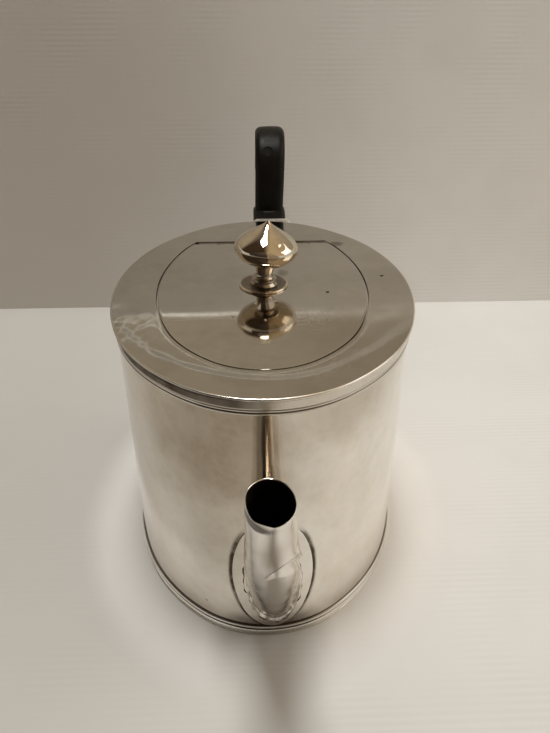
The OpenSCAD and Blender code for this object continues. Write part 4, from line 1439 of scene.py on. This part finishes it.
def card(name, left, right, rib=2.6, ribs=0.5, spread=130, painted_light_pool=False, glow_strength=0.0,
         one_sided=False):
    """Matt card with faint ribs, whose tint drifts from one colour to another across y; on the
    table and the screen this is painted light, lighter towards the window. It can also carry a
    painted pool of light near the foot, and light of its own.
    """
    f = Finish(name)
    # On the table and the screen this drift is painted light, lighter towards the window.
    drift = f.y.between(-spread, spread)
    cloud = f.noise(40, 4, 0.5, seed=13.0).between(0.3, 0.7)
    along = f.x + f.z
    wave = f.node("Math", {"operation": "SINE"}, {0: along * (2 * math.pi / rib)})
    wave = wave * f.noise(30, 2, seed=15.0).between(0.4, 0.65)
    colour = drift.blend(left, right)
    dim = tuple(0.86 * c for c in left[:3]) + (1,)
    colour = (cloud * 0.12 + wave * 0.15 * ribs).blend(colour, dim)
    if painted_light_pool:
        # A painted pool of light near the foot, where the silver throws light down, kept out of the
        # spout's shadow.
        beside_spout = f.x.between(66, 40).most(abs(f.y - 0.5).between(13, 24))
        painted_light_near_foot = f.spot((0, 0, 0), (86, 66, 60), 0.17, 0.05) * beside_spout * 0.9
        colour = painted_light_near_foot.blend(colour, (0.97, 0.96, 0.94, 1))
    return f.surface(one_sided, Base_Color=colour, Roughness=0.8, Specular_IOR_Level=0.25,
                     Emission_Color=left, Emission_Strength=glow_strength,
                     Normal=f.bump(f.noise(1.2, 3, 0.6, seed=14.0) + wave * ribs, 0.03))


SCREEN_X, SCREEN_TOP, STRIP = -0.183, 0.1973, 0.0021
WIDE = 1.4
GLOW_EDGE_COLOUR = (0.95, 0.93, 0.89, 1)
sheet_of("table", [(-1.5, -WIDE, 0), (2.5, -WIDE, 0), (2.5, WIDE, 0), (-1.5, WIDE, 0)],
         card("table_card", (0.60, 0.587, 0.558, 1), (0.74, 0.737, 0.718, 1), painted_light_pool=True))
upright("screen", SCREEN_X, SCREEN_X, (-WIDE, WIDE), (0, SCREEN_TOP),
        card("screen_card", (0.61, 0.58, 0.53, 1), (0.84, 0.83, 0.80, 1), one_sided=True))
# A strip along the screen's top glows, though it is no lamp: painted light that the lid mirrors as
# a thin line.
upright("glowing_screen_edge", SCREEN_X, SCREEN_X, (-WIDE, WIDE), (SCREEN_TOP, SCREEN_TOP + STRIP),
        card("glowing_edge_card", GLOW_EDGE_COLOUR, GLOW_EDGE_COLOUR, glow_strength=0.55, one_sided=True))
print(f"the screen is {-1e3 * SCREEN_X:.0f} mm behind the middle, {1e3 * SCREEN_TOP:.0f} high")

# %% [markdown]
# Everything beyond the screen is the world, a colour for each direction. Low down it is pale all
# round. High up it is dim and warm behind the pot, which the flat top mirrors, and in front it goes
# from a deep shade on one side to a golden brown on the other, which the wall and knob mirror.

# %% The room's colours
room = bpy.data.worlds.new("room")
bpy.context.scene.world = room
room.use_nodes = True
SHADE, GOLD = (0.045, 0.029, 0.018, 1), (0.46, 0.35, 0.22, 1)
CEILING = ((0.30, 0.255, 0.19, 1), (0.365, 0.308, 0.228, 1))
PALE = (0.62, 0.605, 0.575, 1)

r = Graph(room.node_tree, "Generated")
near = r.x.between(-0.45, -0.1)
drift = 0.2 * r.noise(place=r.place, detail=2.0)
front = (r.y + drift - 0.1).between(-0.06, 0.3).blend(SHADE, GOLD)
colour = near.blend(r.z.between(0.36, 0.62).blend(*CEILING), front)
colour = r.z.between(0.22, 0.32).blend(PALE, colour)
back = r.node("Background", inputs={"Color": colour, "Strength": 1.0})
out = r.tree.nodes.new("ShaderNodeOutputWorld")
r.tree.links.new(back.socket, out.inputs["Surface"])
print("the room has", len(room.node_tree.nodes), "nodes")

# %% [markdown]
# A lamp stands over the lid and a wide window at one side, both soft and at a plain level. Two
# cloths stand for the maker who leans over the pot. The silver mirrors them, and they are hidden
# from the camera, so that they never stand in the way.

# %% Lamps and cloths
def lamp(name, place, aim, size, power, colour):
    """A soft rectangular lamp that shines at a place."""
    data = bpy.data.lights.new(name, "AREA")
    data.shape, data.size, data.size_y = "RECTANGLE", *size
    data.energy, data.color = power, colour
    obj = bpy.data.objects.new(name, data)
    obj.location = place
    obj.rotation_euler = (Vector(aim) - Vector(place)).to_track_quat("-Z", "Y").to_euler()
    bpy.context.scene.collection.objects.link(obj)


lamp("ceiling", (-0.05, -0.04, 1.25), (0.05, 0, 0), (0.31, 0.31), 9.2, (1, 0.98, 0.945))
lamp("window", (0.0, 1.1, 0.75), (0, 0, 0), (0.9, 0.7), 3.1, (1, 0.985, 0.965))
DARK, BROWN = (0.035, 0.026, 0.02, 1), (0.16, 0.11, 0.065, 1)
shade = upright("maker_in_dark", 0.30, 0.42, (-0.45, 0.06), (0.10, 0.75),
                card("dark_cloth", DARK, (0.06, 0.04, 0.025, 1), ribs=0))
sleeve = upright("maker_sleeve", 0.30, 0.42, (0.075, 0.27), (0.10, 0.75),
                 card("brown_cloth", BROWN, (0.3, 0.24, 0.17, 1), ribs=0, spread=200))
for cloth in (shade, sleeve):
    cloth.visible_camera = False

# %% [markdown]
# ## Camera
# The view is from in front of the spout and above it, which shows the lid, the spout and the grip
# at once. Its place, tilt and lens are plain numbers. The direction is worked out from the angles
# and the camera's matrix from the direction, which leaves no doubt about which way is up.

# %% Set the camera
CAMERA_AT = Vector((210.9, -2.29, 192.2)) * MM
PITCH, YAW, ROLL = (math.radians(a) for a in (31.43, -1.81, -0.10))
LENS, SENSOR = 31.92, 36

forward = Vector((-math.cos(PITCH) * math.cos(YAW), -math.cos(PITCH) * math.sin(YAW),
                  -math.sin(PITCH)))
right = forward.cross(Vector((0, 0, 1))).normalized()
upward = right.cross(forward)
right, upward = (math.cos(ROLL) * right + math.sin(ROLL) * upward,
                 math.cos(ROLL) * upward - math.sin(ROLL) * right)
camera_data = bpy.data.cameras.new("camera")
camera_data.lens, camera_data.sensor_width = LENS, SENSOR
camera_data.clip_start = 0.01
camera = bpy.data.objects.new("camera", camera_data)
camera.matrix_world = Matrix.Translation(CAMERA_AT) @ Matrix(
    (right, upward, -forward)).transposed().to_4x4()
bpy.context.scene.collection.objects.link(camera)
bpy.context.scene.camera = camera
bpy.context.scene.view_settings.view_transform = "Standard"
print("camera at", np.round(CAMERA_AT, 4))

# %% [markdown] ## Finish The solids that a mesh made here stands in for are counted.

# %% Finish
print("solids with a mesh made here:", sum(n.hide_render for n in frame["nodes"].values()))
